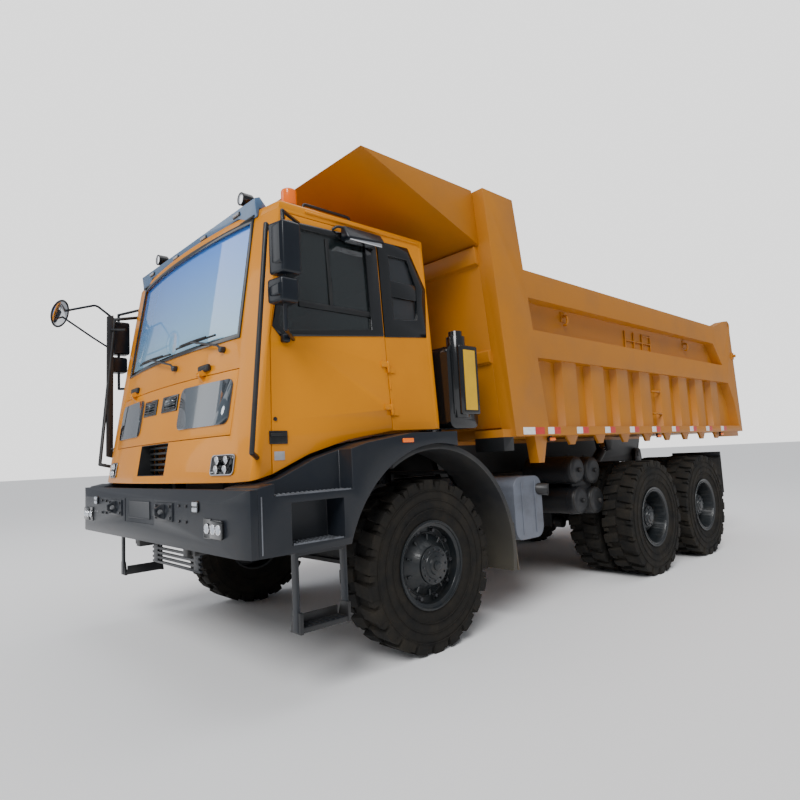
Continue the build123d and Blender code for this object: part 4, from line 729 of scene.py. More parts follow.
def headlampParts():
    f = frontParts
    lampTree, radius = surfaceOf("headlamps"), f["lampRadius"]
    rims, domes, bowls = [], [], []
    for y in f["lampColumns"]:
        for z in f["lampRows"]:
            face = frontX(lampTree, y, z, faceX(y, z) + 0.02)
            rims.append(addRing((face + 0.001, y, z), radius, 0.0035, ahead, 40))
            bowl = addRod((face - 0.002, y, z), (face + 0.003, y, z), radius * 0.98, 32)
            bowls.append(stepFaces(bowl, ahead, (radius * 0.18, 0.001)))
            domes.append(lensDome((face, y, z), ahead, radius * 0.72, 0.5))
    (lowY, highY), (lowZ, highZ) = f["bezel"]
    loops = []
    for size in (f["bezelRound"], f["bezelRound"] - 0.010):
        loop = []
        for y, z, start in ((highY, highZ, 0), (lowY, highZ, 90), (lowY, lowZ, 180), (highY, lowZ, 270)):
            for step in range(5):
                turn = math.radians(start + 22.5 * step)
                rim = f["bezelRound"]
                outer = (y + rim * math.cos(turn), z + rim * math.sin(turn))
                loop.append((faceX(*outer) + 0.007, y + size * math.cos(turn), z + size * math.sin(turn)))
        loops.append(loop)
    for name, piece, finish in (
            ("rims", joined(*rims), "chrome"), ("bowls", joined(*bowls), "reflector"),
            ("domes", joined(*domes), "whiteLens"), ("bezel", frameBetween(*loops, 0.012, 0.003), "steel")):
        bothSides(piece, "headlamp_" + name, finish, cabRides)


def markerLamps():
    f = frontParts
    visorTree, z = surfaceOf("visor"), f["markerZ"]
    bases, lenses = [], []
    wide, high = f["markerSize"]
    for y in f["markerY"]:
        face = frontX(visorTree, y, z, 3.972)
        bases.append(addBox((face - 0.006, y - wide, z - high), (face + 0.008, y + wide, z + high), 0.004))
        lenses.append(addBox((face + 0.004, y - wide * 0.84, z - high * 0.68),
                             (face + 0.018, y + wide * 0.84, z + high * 0.68), 0.005))
    settle(joined(*bases), "marker_lamp_bases", "blackPlastic", cabRides)
    settle(joined(*lenses), "marker_lamp_lenses", "lightGrey", cabRides)
    lower = [(frontX(visorTree, y, f["beadZ"], 3.962) + 0.002, y, f["beadZ"]) for y in f["beadY"]]
    settle(bentTube(lower, 0.009), "visor_lower_bead", "blackPlastic", cabRides)


hingeCovers()
headlampParts()
markerLamps()

# The roof: work lamps, beacon, roof bars and the gutters' ridges

roofRow = {"x": 3.820, "z": 3.625, "radius": 0.052, "pod": (3.885, 0.883, 3.688)}
roofParts = {
    "beacon": (3.735, 1.29), "beaconZ": (3.500, 3.525, 3.665), "beaconRadius": 0.060,
    "bar": (0.95, 0.50, 1.33, 3.50, 3.56), "barRadius": 0.012, "ridge": (1.0, -0.2, 1.425, 3.452),
}


def lampPlaces(tree):
    # the lamps' places across the roof come from the solid itself
    spots, start = [], None
    for step in range(-1200, 1201, 4):
        y = step / 1000
        seen = frontX(tree, y, roofRow["z"], 0) > roofRow["x"] - 0.02
        if seen and start is None:
            start = y
        if start is not None and not seen:
            spots.append((start + y - 0.004) / 2)
            start = None
    return spots


def roofLampParts():
    lampTree, radius = surfaceOf("roof_lamps"), roofRow["radius"]
    rims, glasses, pods = [], [], []
    for y in lampPlaces(lampTree):
        z = roofRow["z"]
        face = frontX(lampTree, y, z, roofRow["x"] + 0.04)
        rims.append(addRing((face, y, z), radius * 0.92, 0.005, ahead, 32))
        glass = addRod((face - 0.004, y, z), (face + 0.004, y, z), radius * 0.86, 32)
        glasses.append(stepFaces(glass, ahead, (0.010, 0.003), (0.014, 0.002)))
    x, sideways, z = roofRow["pod"]
    for y in (-sideways, sideways):
        pod = addRod((x - 0.045, y, z), (x + 0.040, y, z), radius, 36)
        pods.append(softenEdges(stepFaces(pod, behind, (0.008, 0.012), (0.012, 0.008)), 0.003))
        pods.append(bentTube([(x - 0.01, y, z - radius - 0.045), (x - 0.01, y, z - 0.01)], 0.014))
        pods.append(addBox((x - 0.022, y - 0.030, z - radius - 0.050), (x + 0.012, y + 0.030, z - radius - 0.020),
                           0.005))
        rims.append(addRing((x + 0.040, y, z), radius * 0.94, 0.005, ahead, 32))
        glasses.append(lensDome((x + 0.038, y, z), ahead, radius * 0.90, 0.22))
    settle(joined(*pods), "roof_lamp_pods", "glossBlack", cabRides)
    settle(joined(*rims), "roof_lamp_rims", "blackPlastic", cabRides)
    settle(joined(*glasses), "roof_lamp_glasses", "reflector", cabRides)


def roofTrim():
    r = roofParts
    (x, y), (low, mid, high) = r["beacon"], r["beaconZ"]
    foot = stepFaces(addRod((x, y, low), (x, y, mid), r["beaconRadius"] * 1.12, 32), upward, (0.004, 0.004),
                     (0.004, 0.0))
    settle(softenEdges(foot, 0.003), "beacon_foot", "blackPlastic", cabRides)
    dome = stepFaces(addRod((x, y, mid), (x, y, high - 0.020), r["beaconRadius"], 36), upward, (0.006, 0.009),
                     (0.012, 0.007), (0.014, 0.004))
    settle(softenEdges(dome, 0.002), "beacon_dome", "amberLens", cabRides)
    front, back, y, foot, top = r["bar"]
    tube = bentTube([(axleX + x, y, z) for x, z in ((front, foot), (front, top), (back, top), (back, foot))],
                    r["barRadius"])
    bothSides(tube, "roof_bar", "blackPaint", cabRides)
    first, last, y, z = r["ridge"]
    ridge = softenEdges(addRod((axleX + first, y, z), (axleX + last, y, z), 0.012, 16), 0.004)
    bothSides(ridge, "gutter_ridge", "cabPaint", cabRides)


roofLampParts()
roofTrim()

# Door furniture: pocket, pull bar, key, label and the hinges' pins

doorParts = {
    "pocket": (1.275, 1.415, 1.695, 1.785), "keyPlace": (1.365, 1.865), "label": (1.30, 1.38, 1.585, 1.645),
    "hingeX": 0.285, "hingeZ": (2.00, 2.15), "hingeRadius": 0.007, "hingeHalf": 0.035,
}


def doorFurniture():
    d = doorParts
    x0, x1, _, z1 = d["pocket"]
    pocket = stepFaces(sidePlate(*d["pocket"], 0.003, 0.010, 0.003), outward, (0.010, -0.006))
    bar = addBox((axleX + x0 + 0.006, sideY(z1) + 0.004, z1 - 0.040),
                 (axleX + x1 - 0.006, sideY(z1) + 0.020, z1 - 0.014), 0.006)
    key = stepFaces(addRod(onSide(*d["keyPlace"], -0.002), onSide(*d["keyPlace"], 0.007), 0.014, 24), outward,
                    (0.004, -0.003))
    bothSides(joined(pocket, bar, key), "door_handle", "blackPlastic", *doorsRide)
    bothSides(sidePlate(*d["label"], 0.002, 0.004, 0.001), "door_blank_label", "lightGrey", *doorsRide)
    hinges = [stepFaces(addRod(onSide(d["hingeX"], z - d["hingeHalf"], 0.003),
                               onSide(d["hingeX"], z + d["hingeHalf"], 0.003), d["hingeRadius"], 16),
                        upward, (0.002, 0.002)) for z in d["hingeZ"]]
    bothSides(joined(*hinges), "door_hinge_pins", "cabPaint", cabRides)


doorFurniture()

# Mirrors: glasses on the housings' rear faces, cowls, the kerb mirrors and the round one on its post

mirrorParts = {
    # glass: x, its y range, its z range; cowl: its x range, its z range
    "glasses": ((1.271, (1.652, 1.748), (2.850, 3.155)), (1.299, (1.650, 1.750), (2.645, 2.768))),
    "cowls": (((1.272, 1.448), (2.822, 3.182)), ((1.300, 1.465), (2.622, 2.790))), "cowlY": (1.628, 1.772),
    "roundPlace": (1.965, -1.640, 3.200), "roundRadius": 0.140, "roundAxis": (-0.72, 0.62, -0.30),
    "arms": (((1.44, -1.60, 3.19), (1.62, -1.62, 3.33), 0.012), ((1.475, -1.60, 2.86), (1.66, -1.62, 2.98), 0.010)),
    "postFoot": (1.462, 1.700), "postHead": (1.452, 3.235), "postWide": 0.068, "postY": -1.600,
    "kerbX": (0.30, 0.69), "kerbZ": (3.28, 3.40), "kerbY": 1.560,
}


def mirrorGlasses():
    plates = [addBox((axleX + x - 0.004, lowY, lowZ), (axleX + x + 0.006, highY, highZ), 0.003)
              for x, (lowY, highY), (lowZ, highZ) in mirrorParts["glasses"]]
    bothSides(joined(*plates), "mirror_glass", "mirrorGlass", *mirrorsRide)


def roundMirror():
    m = mirrorParts
    radius, axis = m["roundRadius"], Vector(m["roundAxis"]).normalized()
    x, y, z = m["roundPlace"]
    center = Vector((axleX + x, y, z))
    shell = lensDome(center + axis * 0.012, -axis, radius, 0.34)
    rim = addRing(center + axis * 0.012, radius * 0.98, 0.009, axis, 48)
    settle(lensDome(center + axis * 0.010, axis, radius * 0.93, 0.16), "round_mirror_glass", "mirrorGlass", cabRides)
    arms = [bentTube([(axleX + x, y, z) for x, y, z in spots] + [center - axis * 0.03], thick)
            for *spots, thick in m["arms"]]
    settle(joined(shell, rim, *arms), "round_mirror_shell", "mirrorShell", cabRides)


def rightPost():
    # the flat upright at the right front corner that carries the round mirror's arms
    m = mirrorParts
    (lowX, lowZ), (highX, highZ), wide, y = m["postFoot"], m["postHead"], m["postWide"], m["postY"]
    corners = ((lowX, lowZ), (lowX + wide, lowZ + 0.02), (highX + wide, highZ - 0.02), (highX, highZ))
    post = thicken(outlineSheet([(axleX + x, y, z) for x, z in corners]), 0.024, 0.006)
    feet = [bentTube([(axleX + lowX + 0.02, y, z), (axleX + lowX - 0.06, -sideY(z) - 0.015, z - 0.02),
                      (axleX + lowX - 0.08, -sideY(z) + 0.01, z - 0.02)], 0.013)
            for z in (lowZ + 0.10, highZ - 0.16)]
    settle(joined(post, *feet), "right_front_post", "blackPaint", cabRides)


def kerbShells():
    # the hooded mirrors over the door windows, looking down at the kerb
    m = mirrorParts
    (lowX, highX), (lowZ, highZ), out = (axleX + x for x in m["kerbX"]), m["kerbZ"], m["kerbY"]
    shell = addBox((lowX, sideY(lowZ) + 0.015, lowZ), (highX, out, highZ))
    for vertex in shell.data.vertices:
        if vertex.co.z > lowZ + 0.01 and vertex.co.y > out - 0.01:
            vertex.co.y -= 0.060
        if vertex.co.x < lowX + 0.01 and vertex.co.z < lowZ + 0.01:
            vertex.co.z += 0.030
    softenEdges(shell, 0.022, 4)
    glass = addBox((lowX + 0.03, sideY(lowZ) + 0.028, lowZ - 0.004), (highX - 0.03, out - 0.018, lowZ + 0.034), 0.006)
    arm = bentTube([(highX - 0.05, out - 0.05, highZ - 0.03), (highX + 0.03, sideY(3.42) + 0.03, highZ - 0.005),
                    (highX + 0.06, sideY(3.38) - 0.002, highZ - 0.030)], 0.011)
    bothSides(joined(shell, arm), "kerb_mirror_shell", "mirrorShell", *doorsRide)
    bothSides(glass, "kerb_mirror_glass", "mirrorGlass", *doorsRide)


def mirrorCowls():
    # the deeper shells that the photograph shows round both mirrors of the stalk
    cowls, (nearY, farY) = [], mirrorParts["cowlY"]
    for (lowX, highX), (lowZ, highZ) in mirrorParts["cowls"]:
        cowl = addBox((axleX + lowX, nearY, lowZ), (axleX + highX, farY, highZ))
        for vertex in cowl.data.vertices:
            if vertex.co.x > axleX + highX - 0.01 and vertex.co.y > 1.70:
                vertex.co.x -= 0.030
        cowls.append(softenEdges(cowl, 0.020, 4))
    near = sideY(2.44)
    foot = addBox((axleX + 1.225, near - 0.004, 2.405), (axleX + 1.285, near + 0.045, 2.465), 0.014, 4)
    bothSides(joined(*cowls, foot), "mirror_cowls", "mirrorShell", *mirrorsRide)


mirrorGlasses()
roundMirror()
rightPost()
kerbShells()
mirrorCowls()

# The mouth's dark liner and the frames round the two vents

mouth = {"halfY": 0.297, "z": (1.513, 1.767), "deep": 0.150, "ventFrame": ((0.060, 0.365), (2.025, 2.160)),
         "ventHole": ((0.108, 0.342), (2.048, 2.142)), "slats": 4}


def mouthLiner():
    m = mouth
    half, (low, high) = m["halfY"], m["z"]
    corners = ((half, low), (-half, low), (-half, high), (half, high))
    sleeve = frameBetween([onFace(y, z, -0.001) for y, z in corners],
                          [(faceX(0, low) - m["deep"], y, z) for y, z in corners], 0.005)
    settle(sleeve, "mouth_liner", "blackPlastic", cabRides)
    rim = frameBetween(*([onFace(*spot, 0.003) for spot in ((far, low), (near, low), (near, high), (far, high))]
                         for (near, far), (low, high) in (m["ventFrame"], m["ventHole"])), 0.010, 0.003)
    (near, far), (low, high) = m["ventHole"]
    slats = []
    for number in range(m["slats"]):
        z = low + (high - low) * (number + 0.5) / m["slats"]
        face = faceX(near, z)
        slats.append(addBox((face - 0.004, near, z - 0.004), (face + 0.010, far, z + 0.004), 0.002))
    bothSides(joined(rim, *slats), "vent_frame", "glossBlack", lidRides)


mouthLiner()
print("cab detailed")

# Bumper: tow pads' bolts, lamps, bare plates

chassisRides = bodyOf("bumper")
bumperTree, skirtTree, sidesTree = surfaceOf("bumper"), surfaceOf("step_skirts"), surfaceOf("body_sides")

bumperParts = {
    "bolts": (((0.42, 0.69), (1.205, 1.290)), ((0.83, 0.95), (1.19, 1.30))), "boltRadius": 0.011,
    "roundLampY": (1.290, 1.385, 1.461), "roundLampZ": 1.165, "roundLampRadius": 0.030,
    "barLampY": (1.078, 1.152), "barLampZ": (1.281, 1.319), "barLampHigh": 0.013,
    "surround": (1.238, 1.345, 1.100, 1.230), "plateY": 0.24, "plateZ": (1.175, 1.315),
}


def bumperDetail():
    b = bumperParts
    bolts = [bolt((frontX(bumperTree, side * y, z) - 0.001, side * y, z), ahead, b["boltRadius"], 0.010)
             for side in (1, -1) for ys, zs in b["bolts"] for y in ys for z in zs]
    settle(joined(*bolts), "bumper_bolts", "boltSteel", chassisRides)
    lampTree, z, radius = surfaceOf("bumper_lamps"), b["roundLampZ"], b["roundLampRadius"]
    rims, lenses = [], []
    for y in b["roundLampY"]:
        x = frontX(lampTree, y, z, 4.447) if y > 1.34 else frontX(bumperTree, y, z) + 0.010
        rims.append(addRing((x + 0.001, y, z), radius, 0.004, ahead, 36))
        lens = addRod((x - 0.002, y, z), (x + 0.004, y, z), radius * 0.94, 32)
        lenses.append(stepFaces(lens, ahead, (0.006, 0.002), (0.008, 0.002)))
    (lowY, highY), high, bars = b["barLampY"], b["barLampHigh"], []
    for z in b["barLampZ"]:
        x = frontX(lampTree, (lowY + highY) / 2, z, 4.447)
        bars.append(addBox((x - 0.002, lowY, z - high), (x + 0.006, highY, z + high), 0.003))
    lowY, highY, lowZ, highZ = b["surround"]
    x = frontX(bumperTree, lowY, (lowZ + highZ) / 2)
    surround = stepFaces(addBox((x - 0.004, lowY, lowZ), (x + 0.008, highY, highZ)), ahead, (0.006, -0.002))
    for name, piece, finish in (
            ("lamp_surround", softenEdges(surround, 0.002), "glossBlack"), ("lamp_rims", joined(*rims), "chrome"),
            ("lamp_lenses", joined(*lenses), "whiteLens"), ("marker_bars", joined(*bars), "whiteLens")):
        bothSides(piece, "bumper_" + name, finish, chassisRides)
    x = frontX(bumperTree, 0.0, 1.24, 4.40)
    plate = addBox((x - 0.001, -b["plateY"], b["plateZ"][0]), (x + 0.005, b["plateY"], b["plateZ"][1]))
    stepFaces(plate, ahead, (0.006, 0.0), (0.002, -0.002))
    settle(softenEdges(plate, 0.0015), "front_blank_plate", "bumperPaint", chassisRides)


# Skirts: tread strips, edge lines and side lamps

skirtParts = {
    "treads": (((0.91, 1.51), (1.615, 1.742), 1.362), ((0.99, 1.39), (1.565, 1.742), 1.042)),
    "teeth": 0.036, "toothHigh": 0.008, "edgeX": 1.615, "edgeZ": (1.01, 1.10, 1.19, 1.28, 1.365),
    "sideLamp": (0.351, 1.69), "lineRadius": 0.005,
}


def skirtDetail():
    s = skirtParts
    strips, teeth = [], []
    for (lowX, highX), (lowY, highY), z in s["treads"]:
        lowX, highX = axleX + lowX, axleX + highX
        over = Vector(((lowX + highX) / 2, (lowY + highY) / 2, z + 0.25))
        hit = skirtTree.ray_cast(over, Vector((0, 0, -1)))[0]
        top = hit.z if hit else z - 0.002
        plate = addBox((lowX, lowY, top - 0.002), (highX, highY, top + 0.004))
        strips.append(stepFaces(plate, upward, (0.006, -0.001)))
        strips.append(addBox((lowX, highY - 0.004, top - 0.012), (highX, highY + 0.003, top + 0.010), 0.002))
        count = int((highX - lowX) / s["teeth"])
        for row, y in enumerate((lowY + 0.030, (lowY + highY) / 2, highY - 0.026)):
            for number in range(count):
                x = lowX + (number + 0.5 + 0.5 * (row % 2)) * s["teeth"]
                if x < highX - 0.012:
                    tooth = addBox((x - 0.008, y - 0.010, top + 0.003), (x + 0.008, y + 0.010, top + 0.006))
                    teeth.append(stepFaces(tooth, upward, (0.004, s["toothHigh"] - 0.003)))
    bothSides(joined(*strips, *teeth), "step_treads", "treadGrey", chassisRides)
    x, z = axleX + s["sideLamp"][0], s["sideLamp"][1]
    lamp = addBox((x - 0.055, 1.744, z - 0.016), (x + 0.055, 1.762, z + 0.016), 0.006)
    bothSides(lamp, "skirt_side_lamp", "amberLens", chassisRides)
    x = axleX + s["edgeX"]
    edge = bentTube([(x, leftY(skirtTree, x, z, 1.72) + 0.001, z) for z in s["edgeZ"]], s["lineRadius"])
    bothSides(edge, "skirt_edge_line", "treadGrey", chassisRides)


# The hanging steps under the skirts

ladder = {"x": (0.955, 1.335), "y": (1.598, 1.722), "z": (0.478, 0.512), "cheek": 0.012, "cheekHigh": 0.095, "teeth": 9}


def hangingSteps():
    (lowX, highX), (lowY, highY), (lowZ, highZ) = (axleX + x for x in ladder["x"]), ladder["y"], ladder["z"]
    tread = stepFaces(addBox((lowX, lowY, lowZ), (highX, highY, highZ)), upward, (0.008, 0.0), (0.002, -0.006))
    lip = (lowX + 0.01, lowY - 0.004, lowZ), (highX - 0.01, lowY + 0.006, highZ + ladder["cheekHigh"] * 0.6)
    parts = [softenEdges(tread, 0.003), addBox(*lip, 0.002)]
    for x in (lowX, highX):
        cheek = addBox((x - ladder["cheek"], lowY, lowZ - 0.006),
                       (x + ladder["cheek"], highY + 0.004, highZ + ladder["cheekHigh"]))
        for vertex in cheek.data.vertices:
            if vertex.co.z > highZ and vertex.co.y < lowY + 0.01:
                vertex.co.y += 0.045
        parts.append(softenEdges(cheek, 0.003))
    for number in range(ladder["teeth"]):
        x = lowX + (highX - lowX) * (number + 0.5) / ladder["teeth"]
        tooth = addBox((x - 0.007, lowY + 0.02, highZ - 0.007), (x + 0.007, highY - 0.012, highZ + 0.001))
        parts.append(stepFaces(tooth, upward, (0.003, 0.003)))
    bothSides(joined(*parts), "hanging_step", "blackPaint", chassisRides)


bumperDetail()
skirtDetail()
hangingSteps()

# Muffler, tanks and the air cleaner's plate

sideParts = {
    "strapX": (-1.40, -1.19), "seamZ": (0.78, 0.86, 0.95, 1.025, 1.10, 1.19, 1.27),
    "tail": ((-1.47, 1.28, 1.10), (-1.60, 1.33, 1.06)), "tailRadius": 0.062,
    "outlet": ((-1.530, 1.715, 1.178), (-1.455, 1.610, 1.190)), "outletRadius": 0.058,
    "tanks": ((-2.49, 1.32), (-2.525, 0.98), (-2.83, 1.30), (-2.87, 0.955)), "tankRadius": 0.155,
    "tankEnd": 1.50, "strapY": (0.95, 1.37),
    "plate": (-0.605, -0.425, 1.93, 2.49), "plateY": 1.602, "coverDeep": 0.070,
    "fuelEnd": -1.10, "fuelZ": (0.62, 1.35), "fuelY": (-1.60, -0.85), "fuelStraps": (-2.30, -1.85, -1.40),
}


def muffler():
    s = sideParts
    start, end, outer, inner = (Vector((axleX + x, y, z)) for x, y, z in (*s["tail"], *s["outlet"]))
    along, way, radius = (end - start).normalized(), (outer - inner).normalized(), s["outletRadius"]
    parts = [addRing(end, s["tailRadius"] * 0.95, 0.006, along, 36),
             addRing(start.lerp(end, 0.35), s["tailRadius"] + 0.003, 0.007, along, 36)]
    tree = surfaceOf("muffler")
    for x in s["strapX"]:
        seen = [(axleX + x, leftY(tree, axleX + x, z), z) for z in s["seamZ"]]
        spots = [(x, y + 0.002, z) for x, y, z in seen if y is not None]
        if len(spots) > 2:
            parts.append(bentTube(spots, 0.007))
    settle(joined(*parts), "muffler_bands", "mufflerSteel", chassisRides)
    pipe = softenEdges(stepFaces(addRod(inner, outer, radius, 36), way, (0.006, 0.0), (0.0, -0.070)), 0.002)
    settle(joined(pipe, addRing(outer, radius - 0.003, 0.006, way, 36)), "muffler_outlet", "blackPaint", chassisRides)


def airTanks():
    s = sideParts
    bands, ends = [], []
    for x, z in s["tanks"]:
        x, end = axleX + x, s["tankEnd"]
        for y in s["strapY"]:
            band = addRod((x, y - 0.022, z), (x, y + 0.022, z), s["tankRadius"] + 0.005, 40)
            bands += [stepFaces(band, outward, (0.003, -0.001)),
                      bolt((x, y, z + s["tankRadius"] + 0.002), upward, 0.011, 0.020)]
        boss = addRod((x, end - 0.004, z), (x, end + 0.022, z), 0.026, 20)
        ends += [addRing((x, end - 0.028, z), s["tankRadius"] * 0.93, 0.007, parts=40),
                 stepFaces(boss, outward, (0.006, 0.010), (0.004, 0.004))]
    settle(joined(*bands), "air_tank_straps", "blackPaint", chassisRides)
    settle(joined(*ends), "air_tank_ends", "castSteel", chassisRides)


def fuelTank():
    s = sideParts
    (lowY, highY), (lowZ, highZ), straps = s["fuelY"], s["fuelZ"], []
    for x in s["fuelStraps"]:
        x += axleX
        straps += [addBox((x - 0.028, lowY - 0.005, lowZ + 0.09), (x + 0.028, lowY + 0.002, highZ - 0.09), 0.002),
                   addBox((x - 0.028, lowY + 0.09, highZ - 0.002), (x + 0.028, highY - 0.02, highZ + 0.005), 0.002),
                   bolt((x, lowY - 0.004, highZ - 0.11), rightward, 0.012, 0.016)]
    x = axleX + s["fuelEnd"] - 0.18
    neck = stepFaces(addRod((x, lowY + 0.16, highZ - 0.01), (x, lowY + 0.16, highZ + 0.035), 0.055, 32), upward,
                     (0.004, 0.006), (0.010, 0.010), (0.006, 0.004))
    settle(joined(*straps), "fuel_tank_straps", "steel", chassisRides)
    settle(neck, "fuel_tank_cap", "steel", chassisRides)


def cleanerPlate():
    s = sideParts
    x0, x1, z0, z1 = s["plate"]
    x0, x1, y = axleX + x0, axleX + x1, s["plateY"] + s["coverDeep"]
    rides = bodyOf("air_cleaner")
    cover = addBox((x0 - 0.035, s["plateY"] - 0.01, z0 - 0.025), (x1 + 0.030, y, z1 + 0.030), 0.016, 4)
    settle(cover, "cleaner_cover", "glossBlack", rides)
    backing = stepFaces(addBox((x0, y - 0.001, z0), (x1, y + 0.004, z1)), outward, (0.012, 0.0))
    settle(softenEdges(backing, 0.0015), "cleaner_plate_border", "blackPlastic", rides)
    plate = addBox((x0 + 0.014, y + 0.003, z0 + 0.014), (x1 - 0.014, y + 0.007, z1 - 0.014))
    settle(stepFaces(plate, outward, (0.004, 0.001)), "cleaner_blank_plate", "yellowPlate", rides)


muffler()
airTanks()
fuelTank()
cleanerPlate()

# Mud flaps behind the front wheels and at the tail

flapParts = {
    "front": ((-1.005, 0.49), (-0.965, 0.92)), "frontY": (1.16, 1.70), "tailX": -6.245, "tailY": (1.07, 1.70),
    "tailZ": (0.78, 1.37), "ribs": 7,
    # from the tail bar: y at its foot, how far along the hanger its head is
    "brackets": ((0.94, -0.04), (1.02, 0.22)),
}


def ribbedFlap(x, ys, zs, lean=0.0):
    # a rubber sheet with ribs moulded along it, hanging slightly curled
    def onFlap(across, up, back=0.0):
        wave = 0.012 * math.sin(math.pi * across) * (1 - up) + 0.004 * math.cos(across * 14)
        return x + lean * (1 - up) - wave - back, ys[0] + (ys[1] - ys[0]) * across, zs[0] + (zs[1] - zs[0]) * up

    clearSelection()
    bpy.ops.mesh.primitive_grid_add(x_subdivisions=14, y_subdivisions=8, size=1, location=(0, 0, 0))
    sheet = bpy.context.object
    for vertex in sheet.data.vertices:
        vertex.co = onFlap(vertex.co.x + 0.5, vertex.co.y + 0.5)
    ribs = [bentTube([onFlap((number + 0.5) / flapParts["ribs"], 0.06 + 0.88 * step / 4, 0.006) for step in range(5)],
                     0.006) for number in range(flapParts["ribs"])]
    return joined(thicken(sheet, 0.012, 0.002), *ribs)


def mudFlaps():
    f = flapParts
    (lowX, lowZ), (highX, highZ) = f["front"]
    x, (nearY, farY), z = axleX + highX, f["frontY"], highZ - 0.02
    flap = ribbedFlap(x, f["frontY"], (lowZ, highZ), lowX - highX)
    bar = stepFaces(addRod((x, nearY - 0.10, z), (x, farY, z), 0.014, 16), outward, (0.003, 0.002))
    bothSides(flap, "front_mud_flap", "flapRubber", chassisRides)
    bothSides(bar, "front_flap_bar", "blackPaint", chassisRides)
    x, (nearY, farY), z = axleX + f["tailX"], f["tailY"], f["tailZ"][1]
    bothSides(ribbedFlap(x, f["tailY"], f["tailZ"]), "tail_mud_flap", "rubber", chassisRides)
    hanger = addBox((x - 0.010, nearY - 0.08, z - 0.03), (x + 0.040, farY, z + 0.03), 0.006)
    brackets = [bentTube([(axleX - 6.296, y, 1.17), (axleX - 6.280, y + 0.03, 1.26), (x, nearY + along, z)], 0.018)
                for y, along in f["brackets"]]
    brace = bentTube([(x + 0.02, nearY + 0.05, z), (x + 0.10, 0.62, z - 0.10), (x + 0.14, 0.42, z - 0.20)], 0.018)
    bothSides(joined(hanger, brace, *brackets), "tail_flap_hanger", "blackPaint", chassisRides)


mudFlaps()

# Tail lamps: coloured lens plates over the three windows a side

tailParts = {"windows": ((0.62, 0.74, "redLens"), (0.76, 0.88, "amberLens"), (0.90, 1.00, "whiteLens")),
             "z": (1.075, 1.165), "x": -6.345, "plate": (-6.318, 0.24, (1.055, 1.185))}


def tailLamps():
    tailRides, (lowZ, highZ) = bodyOf("tail_lamps"), tailParts["z"]
    x = axleX + tailParts["x"]
    for lowY, highY, finish in tailParts["windows"]:
        lens = addBox((x - 0.006, lowY + 0.008, lowZ), (x + 0.002, highY - 0.008, highZ))
        stepFaces(lens, behind, (0.006, 0.004), (0.012, 0.0), (0.004, -0.002))
        bothSides(softenEdges(lens, 0.0015), "tail_" + finish, finish, tailRides)
    x, half, (lowZ, highZ) = tailParts["plate"]
    plate = addBox((axleX + x, -half, lowZ), (axleX + x + 0.009, half, highZ))
    settle(stepFaces(plate, behind, (0.006, 0.0), (0.002, -0.002)), "rear_blank_plate", "lightGrey", tailRides)


tailLamps()
print("chassis detailed")

# Dump body: hooks, rungs, lattice, tape marks, side lamps and the gate's keeper

bodyRides = bodyOf("body_sides")
bodyParts = {
    "ribX": (-2.114, -2.706, -3.297, -3.889, -4.480, -5.072, -5.664, -6.255), "weldZ": (1.82, 2.03, 2.24, 2.45),
    "railY": 1.751, "tapeZ": (1.716, 1.784), "tapeLength": 0.12,
    "frontTape": ((-1.146, -1.340, -1.500), (-1.560, -1.670, -1.785)),
    "hooks": ((-2.19, 2.95), (-5.43, 2.95)), "plateY": 1.62, "rungX": (-4.33, -4.14), "rungZ": (1.958, 2.245),
    "latticeX": (-4.30, -3.60), "latticeZ": (2.76, 3.00), "latticeBars": 4,
    "sideLampX": (-1.65, -4.10, -6.30), "sideLampZ": 1.665, "keeper": (-7.10, 2.93), "weldRadius": 0.006,
}


def tapeMarks():
    b = bodyParts
    long, whites, reds = b["tapeLength"], [], []
    runs = [(x + 0.02, x + 0.02 - long, x + 0.02 - 2 * long) for x in b["ribX"]]
    for start, middle, end in (*runs, *b["frontTape"]):
        for first, last, stack in ((start, middle, whites), (middle, end, reds)):
            strip = addBox((axleX + last + 0.002, b["railY"] - 0.003, b["tapeZ"][0]),
                           (axleX + first - 0.002, b["railY"] + 0.001, b["tapeZ"][1]))
            stack.append(stepFaces(strip, outward, (0.003, 0.0004)))
    bothSides(joined(*whites), "tape_white", "tapeWhite", bodyRides)
    bothSides(joined(*reds), "tape_red", "tapeRed", bodyRides)


def hooksAndRungs():
    b, y = bodyParts, bodyParts["plateY"]
    hooks = []
    for x, z in b["hooks"]:
        x += axleX
        bends = ((-0.01, 0.05), (0.055, 0.05), (0.065, -0.01), (0.045, -0.05), (0.015, -0.045))
        hooks += [bentTube([(x, y + out, z + up) for out, up in bends], 0.013),
                  addBox((x - 0.04, y - 0.004, z - 0.01), (x + 0.04, y + 0.010, z + 0.10), 0.003)]
    low, high = (axleX + x for x in b["rungX"])
    for z in b["rungZ"]:
        bends = ((low, -0.01), (low, 0.075), (high, 0.075), (high, -0.01))
        hooks.append(bentTube([(x, y + out, z) for x, out in bends], 0.013))
    (low, high), (bottom, top) = (axleX + x for x in b["latticeX"]), b["latticeZ"]
    bars, middle = b["latticeBars"], (bottom + top) / 2
    runs = []
    for number in range(bars):
        x = low + (high - low) * number / (bars - 1)
        runs.append([(x, y + 0.008, bottom), (x, y + 0.012, middle), (x, y + 0.008, top)])
    runs.append([(low, y + 0.012, middle), (high, y + 0.012, middle)])
    runs.append([(low, y + 0.010, top - 0.02), (low + (high - low) * 0.34, y + 0.010, top - 0.02)])
    bothSides(joined(*hooks, *(bentTube(run, 0.010) for run in runs)), "body_hooks", "bodyPaint", bodyRides)


